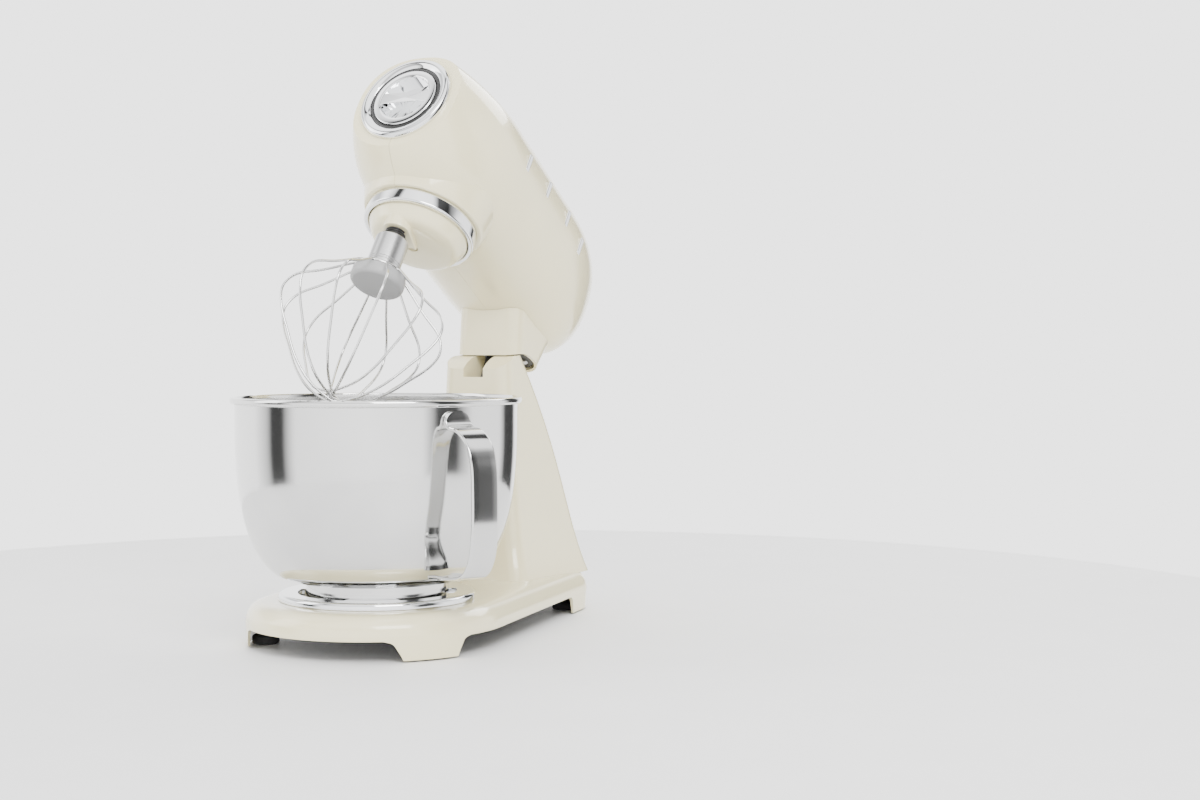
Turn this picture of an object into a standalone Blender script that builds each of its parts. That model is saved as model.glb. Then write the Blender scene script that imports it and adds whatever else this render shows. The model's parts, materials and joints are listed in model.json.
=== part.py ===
"""Tilt-head stand mixer with a twist-lock bowl and a wire whisk, its head raised.

Drawing coordinates: the bowl's axis is x = y = 0, the floor is z = 0, the front is -Y, in metres.
The head is drawn level. Its parts hang from an empty on the hinge pin, which turns them by HEAD_TILT.
"""
import bpy
import bmesh
from math import acos, atan2, ceil, cos, hypot, pi, radians, sin, tau
from mathutils import Matrix, Vector

# ---------------------------------------------------------------- driving dimensions (metres)
GAP = 0.0003                # between pieces that touch
PLAY = 0.0010               # between pieces that move past each other

BASE_RADIUS = 0.1105        # round front of the base
BASE_REAR_Y = 0.280
BASE_REAR_HALF = 0.070
BASE_CORNER = 0.045
BASE_TOP_Z = 0.038
BASE_WALL = 0.0035
SKIRT_Z = 0.0015            # lower edge of the four legs
ARCH_Z = 0.0175             # lower edge of the skirt between the legs
FLOOR_PLATE_Z = 0.0195
FLOOR_PLATE_THICKNESS = 0.0022
FOOT_RADIUS = 0.0115

COLUMN_FRONT_Y = 0.155
COLUMN_TOP_Z = 0.242
COLUMN_TOP_HALF = 0.0337
COLUMN_TOP_REAR_Y = 0.1934
COLUMN_WALL = 0.004
EAR_RADIUS = 0.045          # the column's rounded top, about the hinge
NOTCH_HALF = 0.0105
NOTCH_FRONT_Z = 0.222
NOTCH_REAR_Z = 0.196
POCKET_Z = 0.168

HINGE = Vector((0.0, 0.186, 0.197))
HEAD_TILT = radians(34)
PIN_RADIUS = 0.004
KNUCKLE_RADIUS = 0.014
BUSH_RADIUS = 0.0062

BOWL_RADIUS = 0.1185
BOWL_RIM_Z = 0.208
BOWL_FLOOR_Z = 0.0535
BOWL_WALL = 0.0012
RIM_ROLL = 0.0020
HANDLE_AZIMUTH = radians(66)
HANDLE_WIDTH = 0.025
HANDLE_THICKNESS = 0.0032
HANDLE_REACH = 0.0375

SEAT_RADIUS = 0.083
SEAT_TOP_Z = 0.044
SEAT_INNER = 0.0668
FOOT_RING_RADIUS = 0.0600
FOOT_RING_WALL = 0.0040
SLIP_RING_THICKNESS = 0.0020
LUG_REACH = 0.0055
LUG_THICKNESS = 0.0012
TAB_THICKNESS = 0.0015

HEAD_FRONT_Y = -0.078
HEAD_REAR_Y = 0.252
HEAD_HALF = 0.0705
HEAD_TOP_Z = 0.3990
HEAD_BOTTOM_Z = 0.2655
HEAD_WALL = 0.003
CAP_Z = 0.339
BEZEL_RADIUS = 0.0430
CAP_RADIUS = 0.0300

HUB_RADIUS = 0.050          # chrome ring under the head
HUB_RING_TOP_Z = 0.2668
HUB_RING_BOTTOM_Z = 0.2537
COVER_BOTTOM_Z = 0.2385
COLLAR_HALF = 0.034
COLLAR_FRONT_Y = 0.132      # where it meets the underside of the head
COLLAR_REAR_Y = 0.205
COLLAR_WALL = 0.003

PLANET_MODULE = 0.00175
RING_TEETH = 48
PLANET_TEETH = 16
TRAIN_MODULE = 0.001
MAIN_TEETH = 48
PINION_TEETH = 12
PULLEY_RADIUS = 0.032
MOTOR_PULLEY_RADIUS = 0.008
MOTOR_Y = 0.125
ROTOR_RADIUS = 0.0215
BELT_THICKNESS = 0.0016

SHAFT_RADIUS = 0.0048       # beater shaft
WHISK_TOP_Z = 0.2255
WHISK_HUB_LENGTH = 0.033
WHISK_HUB_RADIUS = 0.0145
WHISK_DISC_RADIUS = 0.0235
WHISK_DISC_THICKNESS = 0.0110
WIRE_PLATE_THICKNESS = 0.0026
WHISK_TIP_Z = 0.0605
WHISK_RADIUS = 0.071
WIRE_RADIUS = 0.0011
WIRE_LOOPS = 6

# places of small parts
FOOT_PLACES = {
    "foot_front_left": (-0.0795, -0.0500), "foot_front_right": (0.0795, -0.0500),
    "foot_rear_left": (-0.048, 0.242), "foot_rear_right": (0.048, 0.242),
}
SCREW_PLACES = [(-0.060, -0.062), (0.060, -0.062), (-0.0655, 0.195), (0.0655, 0.195)]
BUTTON_Z = 0.150
BUTTON_RADIUS = 0.010
INLET_Z = 0.0285
INLET_RADIUS = 0.0058
VENT_ROWS = (0.309, 0.326, 0.343)
LEVER_Y = 0.020
LEVER_TRAVEL = 0.045
BLOCK_FRONT_Y = HINGE.y - 0.020
BLOCK_REAR_Y = HINGE.y + 0.006
SHAFT_END_Z = WHISK_TOP_Z - 0.022
PIN_Z = WHISK_TOP_Z - 0.011

# sides of round pieces
LARGE = 32
MEDIUM = 24
SMALL = 12
TINY = 8

# ---------------------------------------------------------------- derived sizes
TRAIN_Y = TRAIN_MODULE * (MAIN_TEETH + PINION_TEETH) / 2
SHAFT_Y = -PLANET_MODULE * (RING_TEETH - PLANET_TEETH) / 2
RING_GEAR_Z = HUB_RING_TOP_Z + 0.0035
RING_GEAR_HEIGHT = 0.011
RING_GEAR_RADIUS = PLANET_MODULE * RING_TEETH / 2 + 0.0065
CHASSIS_Z = RING_GEAR_Z + RING_GEAR_HEIGHT + GAP
CHASSIS_THICKNESS = 0.004
TRAIN_Z = CHASSIS_Z + CHASSIS_THICKNESS + PLAY
TRAIN_HEIGHT = 0.008
STATOR_Z = CHASSIS_Z + CHASSIS_THICKNESS + 0.010
STATOR_HEIGHT = 0.036
BRIDGE_Z = STATOR_Z + STATOR_HEIGHT + 0.010
BRIDGE_THICKNESS = 0.003
BELT_Z = BRIDGE_Z + BRIDGE_THICKNESS + 0.002
BELT_WIDTH = 0.009
SEAT_Z = BASE_TOP_Z + GAP
SLIP_TOP_Z = SEAT_Z + SLIP_RING_THICKNESS
WHISK_HUB_BOTTOM_Z = WHISK_TOP_Z - WHISK_HUB_LENGTH
WIRE_PLATE_Z = WHISK_HUB_BOTTOM_Z - GAP - WIRE_PLATE_THICKNESS
WHISK_DISC_TOP_Z = WIRE_PLATE_Z - GAP
WHISK_DISC_BOTTOM_Z = WHISK_DISC_TOP_Z - WHISK_DISC_THICKNESS
CENTRAL_SHAFT_RADIUS = 0.005
COVER_RADIUS = HUB_RADIUS - 0.0055


# ---------------------------------------------------------------- materials
def look(name, colour, roughness, metallic=0.0):
    made = bpy.data.materials.new(name)
    made.use_nodes = True
    shader = made.node_tree.nodes["Principled BSDF"]
    shader.inputs["Base Color"].default_value = (*colour, 1.0)
    shader.inputs["Roughness"].default_value = roughness
    shader.inputs["Metallic"].default_value = metallic
    return made


def make_looks():
    return {
        "cream": look("cream_enamel", (0.86, 0.83, 0.68), 0.25),
        "chrome": look("chrome", (0.80, 0.80, 0.80), 0.08, 1.0),
        "stainless": look("stainless_steel", (0.74, 0.74, 0.73), 0.18, 1.0),
        "brushed": look("brushed_steel", (0.62, 0.62, 0.61), 0.38, 1.0),
        "steel": look("machined_steel", (0.50, 0.50, 0.50), 0.40, 1.0),
        "dark": look("dark_plastic", (0.07, 0.07, 0.07), 0.50),
        "grey": look("grey_plastic", (0.36, 0.36, 0.36), 0.50),
        "black": look("black_plastic", (0.015, 0.015, 0.015), 0.35),
        "rubber": look("black_rubber", (0.02, 0.02, 0.02), 0.85),
        "nylon": look("white_nylon", (0.75, 0.74, 0.70), 0.50),
        "aluminium": look("cast_aluminium", (0.60, 0.60, 0.60), 0.45, 1.0),
        "copper": look("copper_winding", (0.60, 0.27, 0.12), 0.40, 1.0),
        "board": look("circuit_board", (0.03, 0.16, 0.06), 0.55),
    }


# ---------------------------------------------------------------- shapes
def add_object(name, points, faces, surface=None):
    mesh = bpy.data.meshes.new(name)
    mesh.from_pydata([tuple(point) for point in points], [], faces)
    shape = bmesh.new()
    shape.from_mesh(mesh)
    bmesh.ops.recalc_face_normals(shape, faces=shape.faces)
    shape.to_mesh(mesh)
    shape.free()
    made = bpy.data.objects.new(name, mesh)
    if surface:
        mesh.materials.append(surface)
    bpy.context.collection.objects.link(made)
    return made


def loft(name, rings, surface=None):
    """A closed body through rings of equally many points, with flat ends."""
    count = len(rings[0])
    points = [point for ring in rings for point in ring]
    faces = []
    for level in range(len(rings) - 1):
        low, high = level * count, (level + 1) * count
        for i in range(count):
            j = (i + 1) % count
            faces.append((low + i, low + j, high + j, high + i))
    faces.append(tuple(reversed(range(count))))
    faces.append(tuple(range(len(points) - count, len(points))))
    return add_object(name, points, faces, surface)


def prism(name, outline, low, high, surface=None):
    """An outline of (x, y) points, between two heights."""
    rings = [[Vector((x, y, z)) for x, y in outline] for z in (low, high)]
    return loft(name, rings, surface)


def turned(name, profile, sides, surface=None, centre=(0.0, 0.0)):
    """A profile of (radius, z) points turned about the vertical line through centre.

    A profile that starts and ends on the axis is solid, any other one is a closed ring.
    """
    points, starts = [], []
    for radius, z in profile:
        starts.append(len(points))
        if radius < 1e-7:
            points.append(Vector((centre[0], centre[1], z)))
            continue
        for i in range(sides):
            turn = tau * i / sides
            points.append(Vector((centre[0] + radius * cos(turn), centre[1] + radius * sin(turn), z)))
    solid = profile[0][0] < 1e-7
    faces = []
    for k in range(len(profile) - 1 if solid else len(profile)):
        m = (k + 1) % len(profile)
        here, there = starts[k], starts[m]
        for i in range(sides):
            j = (i + 1) % sides
            if profile[k][0] < 1e-7:
                faces.append((here, there + j, there + i))
            elif profile[m][0] < 1e-7:
                faces.append((here + i, here + j, there))
            else:
                faces.append((here + i, here + j, there + j, there + i))
    return add_object(name, points, faces, surface)


def cylinder(name, radius, low, high, surface=None, centre=(0.0, 0.0), sides=MEDIUM):
    return turned(name, [(0, low), (radius, low), (radius, high), (0, high)], sides, surface, centre)


def ring(name, inner, outer, low, high, surface=None, centre=(0.0, 0.0), sides=MEDIUM):
    profile = [(inner, low), (outer, low), (outer, high), (inner, high)]
    return turned(name, profile, sides, surface, centre)


def box(name, lows, highs, surface=None):
    (x0, y0, z0), (x1, y1, z1) = lows, highs
    return prism(name, [(x0, y0), (x1, y0), (x1, y1), (x0, y1)], z0, z1, surface)


def wrapped_outline(circles, step=radians(18)):
    """The taut outline round circles (x, y, radius) that are listed counter-clockwise."""
    count = len(circles)
    leaves = []
    for i, (x, y, radius) in enumerate(circles):
        nx, ny, next_radius = circles[(i + 1) % count]
        along = atan2(ny - y, nx - x)
        leaves.append(along - acos((radius - next_radius) / hypot(nx - x, ny - y)))
    outline = []
    for i, (x, y, radius) in enumerate(circles):
        start = leaves[i - 1]
        span = (leaves[i] - start) % tau
        parts = max(1, ceil(span / step - 1e-6))
        for k in range(parts + 1):
            turn = start + span * k / parts
            outline.append((x + radius * cos(turn), y + radius * sin(turn)))
    return outline


def arc(x, y, radius, start, end, parts):
    """Points on an arc, its angles in degrees."""
    turns = [radians(start + (end - start) * k / parts) for k in range(parts + 1)]
    return [(x + radius * cos(turn), y + radius * sin(turn)) for turn in turns]


def rounded_box_outline(half, front, rear, corner, step=radians(22.5)):
    return wrapped_outline([
        (half - corner, front + corner, corner),
        (half - corner, rear - corner, corner),
        (corner - half, rear - corner, corner),
        (corner - half, front + corner, corner),
    ], step)


def gear_outline(teeth, module, outside=True, thinning=0.0, phase=0.0):
    """Teeth with straight flanks. An inside outline is the hole of a ring gear."""
    pitch = module * teeth / 2
    sign = 1 if outside else -1
    tip = pitch + sign * 0.85 * module
    root = pitch - sign * 1.15 * module
    outline = []
    for tooth in range(teeth):
        middle = phase + tau * tooth / teeth
        half_root = (0.31 - thinning) * tau / teeth
        half_tip = (0.14 - thinning) * tau / teeth
        for radius, turn in ((root, -half_root), (tip, -half_tip), (tip, half_tip), (root, half_root)):
            outline.append((radius * cos(middle + turn), radius * sin(middle + turn)))
    return outline


def moved_outline(outline, x, y):
    return [(px + x, py + y) for px, py in outline]


def along_x(piece, y, z):
    """Turns a piece made on the vertical axis until it lies along X at y, z."""
    piece.data.transform(Matrix.Translation((0, y, z)) @ Matrix.Rotation(pi / 2, 4, "Y"))
    return piece


def along_y(piece, x, z):
    """Lays a piece made on the vertical axis down: its +Z end points to the rear."""
    piece.data.transform(Matrix.Translation((x, 0, z)) @ Matrix.Rotation(-pi / 2, 4, "X"))
    return piece


def close_seams(mesh):
    """Fills the hair-thin triangle that a cut through a curved wall can leave open."""
    shape = bmesh.new()
    shape.from_mesh(mesh)
    loose = [edge for edge in shape.edges if len(edge.link_faces) == 1]
    if loose:
        bmesh.ops.holes_fill(shape, edges=loose, sides=3)
        bmesh.ops.recalc_face_normals(shape, faces=shape.faces)
        shape.to_mesh(mesh)
    shape.free()


def combine(target, tools, operation="DIFFERENCE"):
    """Applies one Boolean for each tool and removes the tools."""
    for tool in tools:
        step = target.modifiers.new(operation.lower(), "BOOLEAN")
        step.operation = operation
        step.solver = "EXACT"
        step.object = tool
    bpy.context.view_layer.update()
    graph = bpy.context.evaluated_depsgraph_get()
    shape = bpy.data.meshes.new_from_object(target.evaluated_get(graph))
    target.modifiers.clear()
    close_seams(shape)
    target.data = shape
    for tool in tools:
        bpy.data.objects.remove(tool)
    return target


def coil(name, surface, radius, wire, low, high, turns, sides=4, centre=(0.0, 0.0), per_turn=8):
    """An open compression spring on the vertical axis."""
    steps = int(turns * per_turn)
    path = []
    for k in range(steps + 1):
        turn = tau * turns * k / steps
        z = low + wire + (high - low - 2 * wire) * k / steps
        path.append(Vector((centre[0] + radius * cos(turn), centre[1] + radius * sin(turn), z)))
    return wire_along(name, surface, path, wire, sides)


def wire_along(name, surface, path, radius, sides=4):
    """A round wire along a path, with flat ends."""
    rings = []
    side = None
    for k, point in enumerate(path):
        ahead = path[min(k + 1, len(path) - 1)] - path[max(k - 1, 0)]
        ahead.normalize()
        if side is None:
            side = ahead.orthogonal().normalized()
        side = (side - ahead * side.dot(ahead)).normalized()
        other = ahead.cross(side)
        turns = [tau * i / sides for i in range(sides)]
        rings.append([point + radius * (side * cos(t) + other * sin(t)) for t in turns])
    return loft(name, rings, surface)


def smooth_curve(knots, per_span):
    """A Catmull-Rom curve through knots, which are tuples of equal length."""
    ends = [tuple(2 * a - b for a, b in zip(knots[0], knots[1]))]
    tail = [tuple(2 * a - b for a, b in zip(knots[-1], knots[-2]))]
    points = ends + list(knots) + tail
    curve = []
    for i in range(1, len(points) - 2):
        for k in range(per_span):
            t = k / per_span
            curve.append(tuple(
                0.5 * (2 * b + (c - a) * t + (2 * a - 5 * b + 4 * c - d) * t * t
                       + (3 * b - a - 3 * c + d) * t ** 3)
                for a, b, c, d in zip(*points[i - 1:i + 3])))
    return curve + [knots[-1]]


# ---------------------------------------------------------------- base and column
def base_outline(inset):
    corner_x = BASE_REAR_HALF - BASE_CORNER
    corner_y = BASE_REAR_Y - BASE_CORNER
    return wrapped_outline([
        (0, 0, BASE_RADIUS - inset),
        (corner_x, corner_y, BASE_CORNER - inset),
        (-corner_x, corner_y, BASE_CORNER - inset),
    ])


def column_half(z):
    """Half the column's width: it flares towards the base."""
    share = (COLUMN_TOP_Z - z) / (COLUMN_TOP_Z - BASE_TOP_Z)
    return COLUMN_TOP_HALF + 0.012 * share + 0.014 * share ** 6


def column_front(z):
    share = (COLUMN_TOP_Z - z) / (COLUMN_TOP_Z - BASE_TOP_Z)
    return COLUMN_FRONT_Y - 0.016 * share ** 8


def column_rear(z):
    """A steep slope that eases off towards the base."""
    share = (COLUMN_TOP_Z - z) / (COLUMN_TOP_Z - BASE_TOP_Z)
    spread = BASE_REAR_Y - 0.004 - COLUMN_TOP_REAR_Y
    return COLUMN_TOP_REAR_Y + spread * (1 - (1 - min(share, 1)) ** 1.8)


def column_ring(z, inset=0.0):
    outline = rounded_box_outline(column_half(z) - inset, column_front(z) + inset,
                                  column_rear(z) - inset, 0.014 - inset / 2)
    return [Vector((x, y, z)) for x, y in outline]


def make_base_housing(looks):
    levels = [(SKIRT_Z, 0.0015), (ARCH_Z + 0.003, 0.0), (0.028, 0.0015), (0.034, 0.006), (0.037, 0.013),
              (BASE_TOP_Z, 0.022)]
    housing = loft("base_housing", [[Vector((x, y, z)) for x, y in base_outline(inset)]
                                    for z, inset in levels], looks["cream"])
    heights = [BASE_TOP_Z - 0.003, 0.042, 0.050, 0.066, 0.10, 0.14, 0.18, 0.21, COLUMN_TOP_Z + 0.0005]
    column = loft("column", [column_ring(min(z, COLUMN_TOP_Z)) for z in heights])
    combine(column, [above_ears()])
    combine(housing, [column], "UNION")
    below = [(-0.01, 0.0), (0.0245, 0.0), (0.0300, 0.006), (BASE_TOP_Z - 0.0045, 0.014)]
    hollow = loft("hollow", [[Vector((x, y, z)) for x, y in base_outline(BASE_WALL + inset)]
                             for z, inset in below])
    inner_heights = [0.02, 0.05, 0.10, POCKET_Z + 0.002]
    shaft = loft("shaft", [column_ring(z, COLUMN_WALL) for z in inner_heights])
    front, wall = COLUMN_FRONT_Y - 0.02, COLUMN_FRONT_Y + 0.005
    rear = HINGE.y + KNUCKLE_RADIUS + 0.0045
    slope_end = rear + 0.030
    profile = [(front, NOTCH_FRONT_Z), (wall, NOTCH_FRONT_Z), (wall, POCKET_Z), (rear, POCKET_Z),
               (rear, NOTCH_REAR_Z), (slope_end, NOTCH_REAR_Z + 0.040), (slope_end, 0.3), (front, 0.3)]
    notch = loft("notch", [[Vector((x, y, z)) for y, z in profile] for x in (-NOTCH_HALF, NOTCH_HALF)])
    pin_half = column_half(HINGE.z) - 0.003
    pin_hole = along_x(cylinder("pin_hole", PIN_RADIUS + GAP, -pin_half, pin_half, sides=SMALL),
                       HINGE.y, HINGE.z)
    button_hole = along_y(cylinder("button_hole", BUTTON_RADIUS + GAP, 0.19, 0.26, sides=SMALL), 0, BUTTON_Z)
    inlet_hole = along_y(cylinder("inlet_hole", INLET_RADIUS + GAP, BASE_REAR_Y - 0.02,
                                  BASE_REAR_Y + 0.02, sides=SMALL), 0, INLET_Z)
    combine(housing, [hollow, shaft, notch, pin_hole, button_hole, inlet_hole] + arches())
    bosses = [ring("boss", 0.0016, 0.0048, FLOOR_PLATE_Z + FLOOR_PLATE_THICKNESS + GAP,
                   BASE_TOP_Z - 0.004, centre=place, sides=TINY) for place in SCREW_PLACES]
    return combine(housing, bosses, "UNION")


def above_ears():
    """What lies over the column's round top."""
    outline = arc(HINGE.y, HINGE.z, EAR_RADIUS, 20, 160, 14)
    low = outline[-1][1]
    outline += [(HINGE.y - 0.1, low), (HINGE.y - 0.1, 0.3), (HINGE.y + 0.1, 0.3), (HINGE.y + 0.1, low)]
    return loft("above_ears", [[Vector((x, y, z)) for y, z in outline] for x in (-0.1, 0.1)])


def arches():
    """Cutters for the skirt's four arches."""
    def arch(name, half, middle, reach):
        right = [(0.006, -0.01), (0.004, 0.002), (0.0005, ARCH_Z - 0.006), (-0.002, ARCH_Z - 0.002),
                 (-0.007, ARCH_Z)]
        profile = [(middle + half + x, z) for x, z in right]
        profile += [(middle - half - x, z) for x, z in reversed(right)]
        return prism(name, profile, *reach)
    front = arch("front_arch", 0.073, 0, (0.062, 0.16))
    rear = arch("rear_arch", 0.032, 0, (-0.32, -0.255))
    side = arch("side_arch", 0.121, 0.089, (-0.16, 0.16))
    for piece in (front, rear):
        piece.data.transform(Matrix.Rotation(pi / 2, 4, "X"))
    side.data.transform(Matrix.Rotation(pi / 2, 4, "Z") @ Matrix.Rotation(pi / 2, 4, "X"))
    return [front, rear, side]


def make_underside(looks):
    plate = prism("bottom_plate", base_outline(BASE_WALL + GAP + 0.0005), FLOOR_PLATE_Z,
                  FLOOR_PLATE_Z + FLOOR_PLATE_THICKNESS, looks["dark"])
    holes = [cylinder("hole", 0.0018, 0, 0.03, centre=place, sides=TINY) for place in SCREW_PLACES]
    combine(plate, holes)
    feet = []
    for name, place in FOOT_PLACES.items():
        top = FLOOR_PLATE_Z - GAP
        profile = [(0, 0), (FOOT_RADIUS - 0.002, 0), (FOOT_RADIUS, 0.002), (FOOT_RADIUS, 0.006),
                   (FOOT_RADIUS - 0.0035, 0.008), (FOOT_RADIUS - 0.0035, top), (0, top)]
        feet.append(turned(name, profile, SMALL, looks["rubber"], place))
    inlet_y = BASE_REAR_Y
    inlet = along_y(turned("cord_inlet", [
        (0.0036, inlet_y - 0.009), (INLET_RADIUS, inlet_y - 0.009), (INLET_RADIUS, inlet_y + GAP),
        (INLET_RADIUS + 0.0022, inlet_y + GAP), (INLET_RADIUS + 0.0012, inlet_y + 0.007),
        (0.0036, inlet_y + 0.007)], SMALL, looks["rubber"]), 0, INLET_Z)
    return [plate, inlet, *feet]


def make_seat(looks):
    profile = [(SEAT_INNER, SEAT_Z), (SEAT_RADIUS, SEAT_Z), (SEAT_RADIUS, SEAT_TOP_Z - 0.0025),
               (SEAT_RADIUS - 0.0015, SEAT_TOP_Z - 0.0006), (SEAT_RADIUS - 0.004, SEAT_TOP_Z),
               (SEAT_INNER, SEAT_TOP_Z)]
    seat = turned("bowl_seat_ring", profile, LARGE, looks["chrome"])
    tabs = []
    inner = FOOT_RING_RADIUS + PLAY
    for third in range(3):
        outline = sector(inner, SEAT_INNER + 0.002, radians(40 + 120 * third), radians(80 + 120 * third), 6)
        tabs.append(prism("tab", outline, SEAT_TOP_Z - TAB_THICKNESS, SEAT_TOP_Z - 0.0001))
    return combine(seat, tabs, "UNION")


def sector(inner, outer, start, end, parts):
    turns = [start + (end - start) * k / parts for k in range(parts + 1)]
    arc = [(outer * cos(t), outer * sin(t)) for t in turns]
    return arc + [(inner * cos(t), inner * sin(t)) for t in reversed(turns)]


def make_latch(looks):
    rear = column_rear(BUTTON_Z)
    inner = rear - COLUMN_WALL - 0.005
    button = along_y(turned("release_button", [
        (0, 0.1805), (0.0035, 0.1805), (0.0035, inner), (BUTTON_RADIUS, inner), (BUTTON_RADIUS, rear + 0.004),
        (BUTTON_RADIUS - 0.002, rear + 0.0058), (0, rear + 0.0065)], SMALL, looks["chrome"]), 0, BUTTON_Z)
    latch = box("latch", (-0.007, 0.1785, BUTTON_Z - 0.006),
                (0.007, 0.1832, HINGE.z - KNUCKLE_RADIUS - 0.0006))
    combine(button, [latch], "UNION")
    guide_half = column_half(BUTTON_Z) - COLUMN_WALL - PLAY
    guide = box("latch_guide", (-guide_half, 0.200, BUTTON_Z - 0.008),
                (guide_half, 0.204, BUTTON_Z + 0.008), looks["aluminium"])
    bore = along_y(cylinder("bore", 0.0035 + GAP, 0.19, 0.21, sides=SMALL), 0, BUTTON_Z)
    combine(guide, [bore])
    spring = along_y(coil("release_spring", looks["steel"], 0.0055, 0.0006, 0.204 + GAP,
                          inner - GAP, 4), 0, BUTTON_Z)
    return button, guide, spring


def make_hinge_pin(looks):
    half = column_half(HINGE.z) - 0.003 - GAP
    return along_x(cylinder("hinge_pin", PIN_RADIUS, -half, half, looks["steel"], sides=SMALL),
                   HINGE.y, HINGE.z)


# ---------------------------------------------------------------- bowl
def bowl_outer_knots():
    deep = BOWL_RIM_Z - BOWL_FLOOR_Z
    r = BOWL_RADIUS
    return [(r * 0.60, BOWL_FLOOR_Z + 0.0012), (r * 0.74, BOWL_FLOOR_Z + deep * 0.055),
            (r * 0.87, BOWL_FLOOR_Z + deep * 0.19), (r * 0.955, BOWL_FLOOR_Z + deep * 0.40),
            (r * 0.993, BOWL_FLOOR_Z + deep * 0.66), (r, BOWL_RIM_Z - 0.006)]


def make_bowl(looks):
    outer = smooth_curve(bowl_outer_knots(), 2)
    roll = [(BOWL_RADIUS + RIM_ROLL * (1 + sin(t)) - BOWL_WALL / 2 + 0.0004,
             BOWL_RIM_Z - 0.0028 - 0.0028 * cos(t)) for t in (radians(20), radians(80), radians(130))]
    top = [(BOWL_RADIUS - 0.0004, BOWL_RIM_Z), (BOWL_RADIUS - BOWL_WALL, BOWL_RIM_Z - 0.003)]
    inner = [(radius - BOWL_WALL, z + BOWL_WALL * (1 - radius / BOWL_RADIUS) ** 0.5 + 0.0002)
             for radius, z in reversed(outer[:-1])]
    profile = ([(0, BOWL_FLOOR_Z), (outer[0][0] - 0.010, BOWL_FLOOR_Z)] + outer + roll + top + inner
               + [(outer[0][0] - 0.010, BOWL_FLOOR_Z + BOWL_WALL), (0, BOWL_FLOOR_Z + BOWL_WALL)])
    return turned("bowl", profile, LARGE, looks["stainless"])


def make_bowl_foot(looks):
    low = SLIP_TOP_Z + GAP
    foot = ring("bowl_foot_ring", FOOT_RING_RADIUS - FOOT_RING_WALL, FOOT_RING_RADIUS, low,
                BOWL_FLOOR_Z - GAP, looks["stainless"], sides=LARGE)
    lugs = []
    for third in range(3):
        outline = sector(FOOT_RING_RADIUS - 0.001, FOOT_RING_RADIUS + LUG_REACH,
                         radians(8 + 120 * third), radians(32 + 120 * third), 4)
        lugs.append(prism("lug", outline, low + 0.0001, low + LUG_THICKNESS))
    return combine(foot, lugs, "UNION")


def make_slip_ring(looks):
    return ring("bowl_slip_ring", FOOT_RING_RADIUS - FOOT_RING_WALL - 0.001, FOOT_RING_RADIUS + 0.0005,
                SEAT_Z, SLIP_TOP_Z, looks["nylon"], sides=LARGE)


def handle_knots():
    """The strap's middle line: a tab on the wall, a D, and its foot on the bowl's lower curve."""
    wall = BOWL_RADIUS + HANDLE_THICKNESS / 2 + 2 * GAP
    out = HANDLE_REACH
    top = BOWL_RIM_Z - 0.0085
    drop = BOWL_RIM_Z - BOWL_FLOOR_Z
    return [(wall, top), (wall, top - drop * 0.055), (wall + out * 0.12, top - drop * 0.088),
            (wall + out * 0.45, top - drop * 0.105), (wall + out * 0.78, top - drop * 0.165),
            (wall + out * 0.96, top - drop * 0.27), (wall + out, top - drop * 0.42),
            (wall + out * 0.99, top - drop * 0.60), (wall + out * 0.90, top - drop * 0.74),
            (wall + out * 0.64, top - drop * 0.83), (wall + out * 0.20, top - drop * 0.860),
            (wall - out * 0.38, top - drop * 0.862), (wall - out * 0.66, top - drop * 0.868)]


def make_handle(looks):
    """A strap in the vertical plane at HANDLE_AZIMUTH from the front towards +X."""
    path = smooth_curve(handle_knots(), 2)
    out = Vector((sin(HANDLE_AZIMUTH), -cos(HANDLE_AZIMUTH), 0))
    across = Vector((cos(HANDLE_AZIMUTH), sin(HANDLE_AZIMUTH), 0))
    up = Vector((0, 0, 1))
    rings = []
    for k, (radius, z) in enumerate(path):
        before, after = path[max(k - 1, 0)], path[min(k + 1, len(path) - 1)]
        ahead = (out * (after[0] - before[0]) + up * (after[1] - before[1])).normalized()
        normal = ahead.cross(across)
        centre = out * radius + up * z
        half, thick = HANDLE_WIDTH / 2, HANDLE_THICKNESS / 2
        edge = half - 0.0012
        shape = [(-half, 0), (-edge, -thick), (edge, -thick), (half, 0), (edge, thick), (-edge, thick)]
        rings.append([centre + across * a + normal * b for a, b in shape])
    return loft("bowl_handle", rings, looks["stainless"])


# ---------------------------------------------------------------- head casings
def falloff(y, start, end, sharpness=2.0):
    """1 up to start, then an elliptic fall to 0 at end."""
    share = (y - start) / (end - start)
    if share <= 0:
        return 1.0
    return max(0.0, 1 - share ** sharpness) ** 0.5


def head_ring(y, inset=0.0, count=MEDIUM + 4):
    front = falloff(y, -0.02, -0.106)
    front_top = falloff(y, 0.005, -0.117)
    front_half = falloff(y, 0.010, -0.1165)
    middle = 0.333 + 0.006 * (1 - front) / 0.26
    rear = falloff(y, 0.190, HEAD_REAR_Y + 0.001)
    half = HEAD_HALF * front_half * falloff(y, 0.130, HEAD_REAR_Y + 0.001) - inset
    above = (HEAD_TOP_Z - 0.333) * front_top * falloff(y, 0.150, HEAD_REAR_Y + 0.001) - inset
    below = (0.333 - HEAD_BOTTOM_Z) * front * rear - inset
    points = []
    for i in range(count):
        turn = tau * i / count
        x, z = cos(turn), sin(turn)
        power = 2 / 2.35
        x = abs(x) ** power * (1 if x > 0 else -1)
        z = abs(z) ** power * (1 if z > 0 else -1)
        points.append(Vector((half * x, y, middle + (above if z > 0 else below) * z)))
    return points


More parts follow.
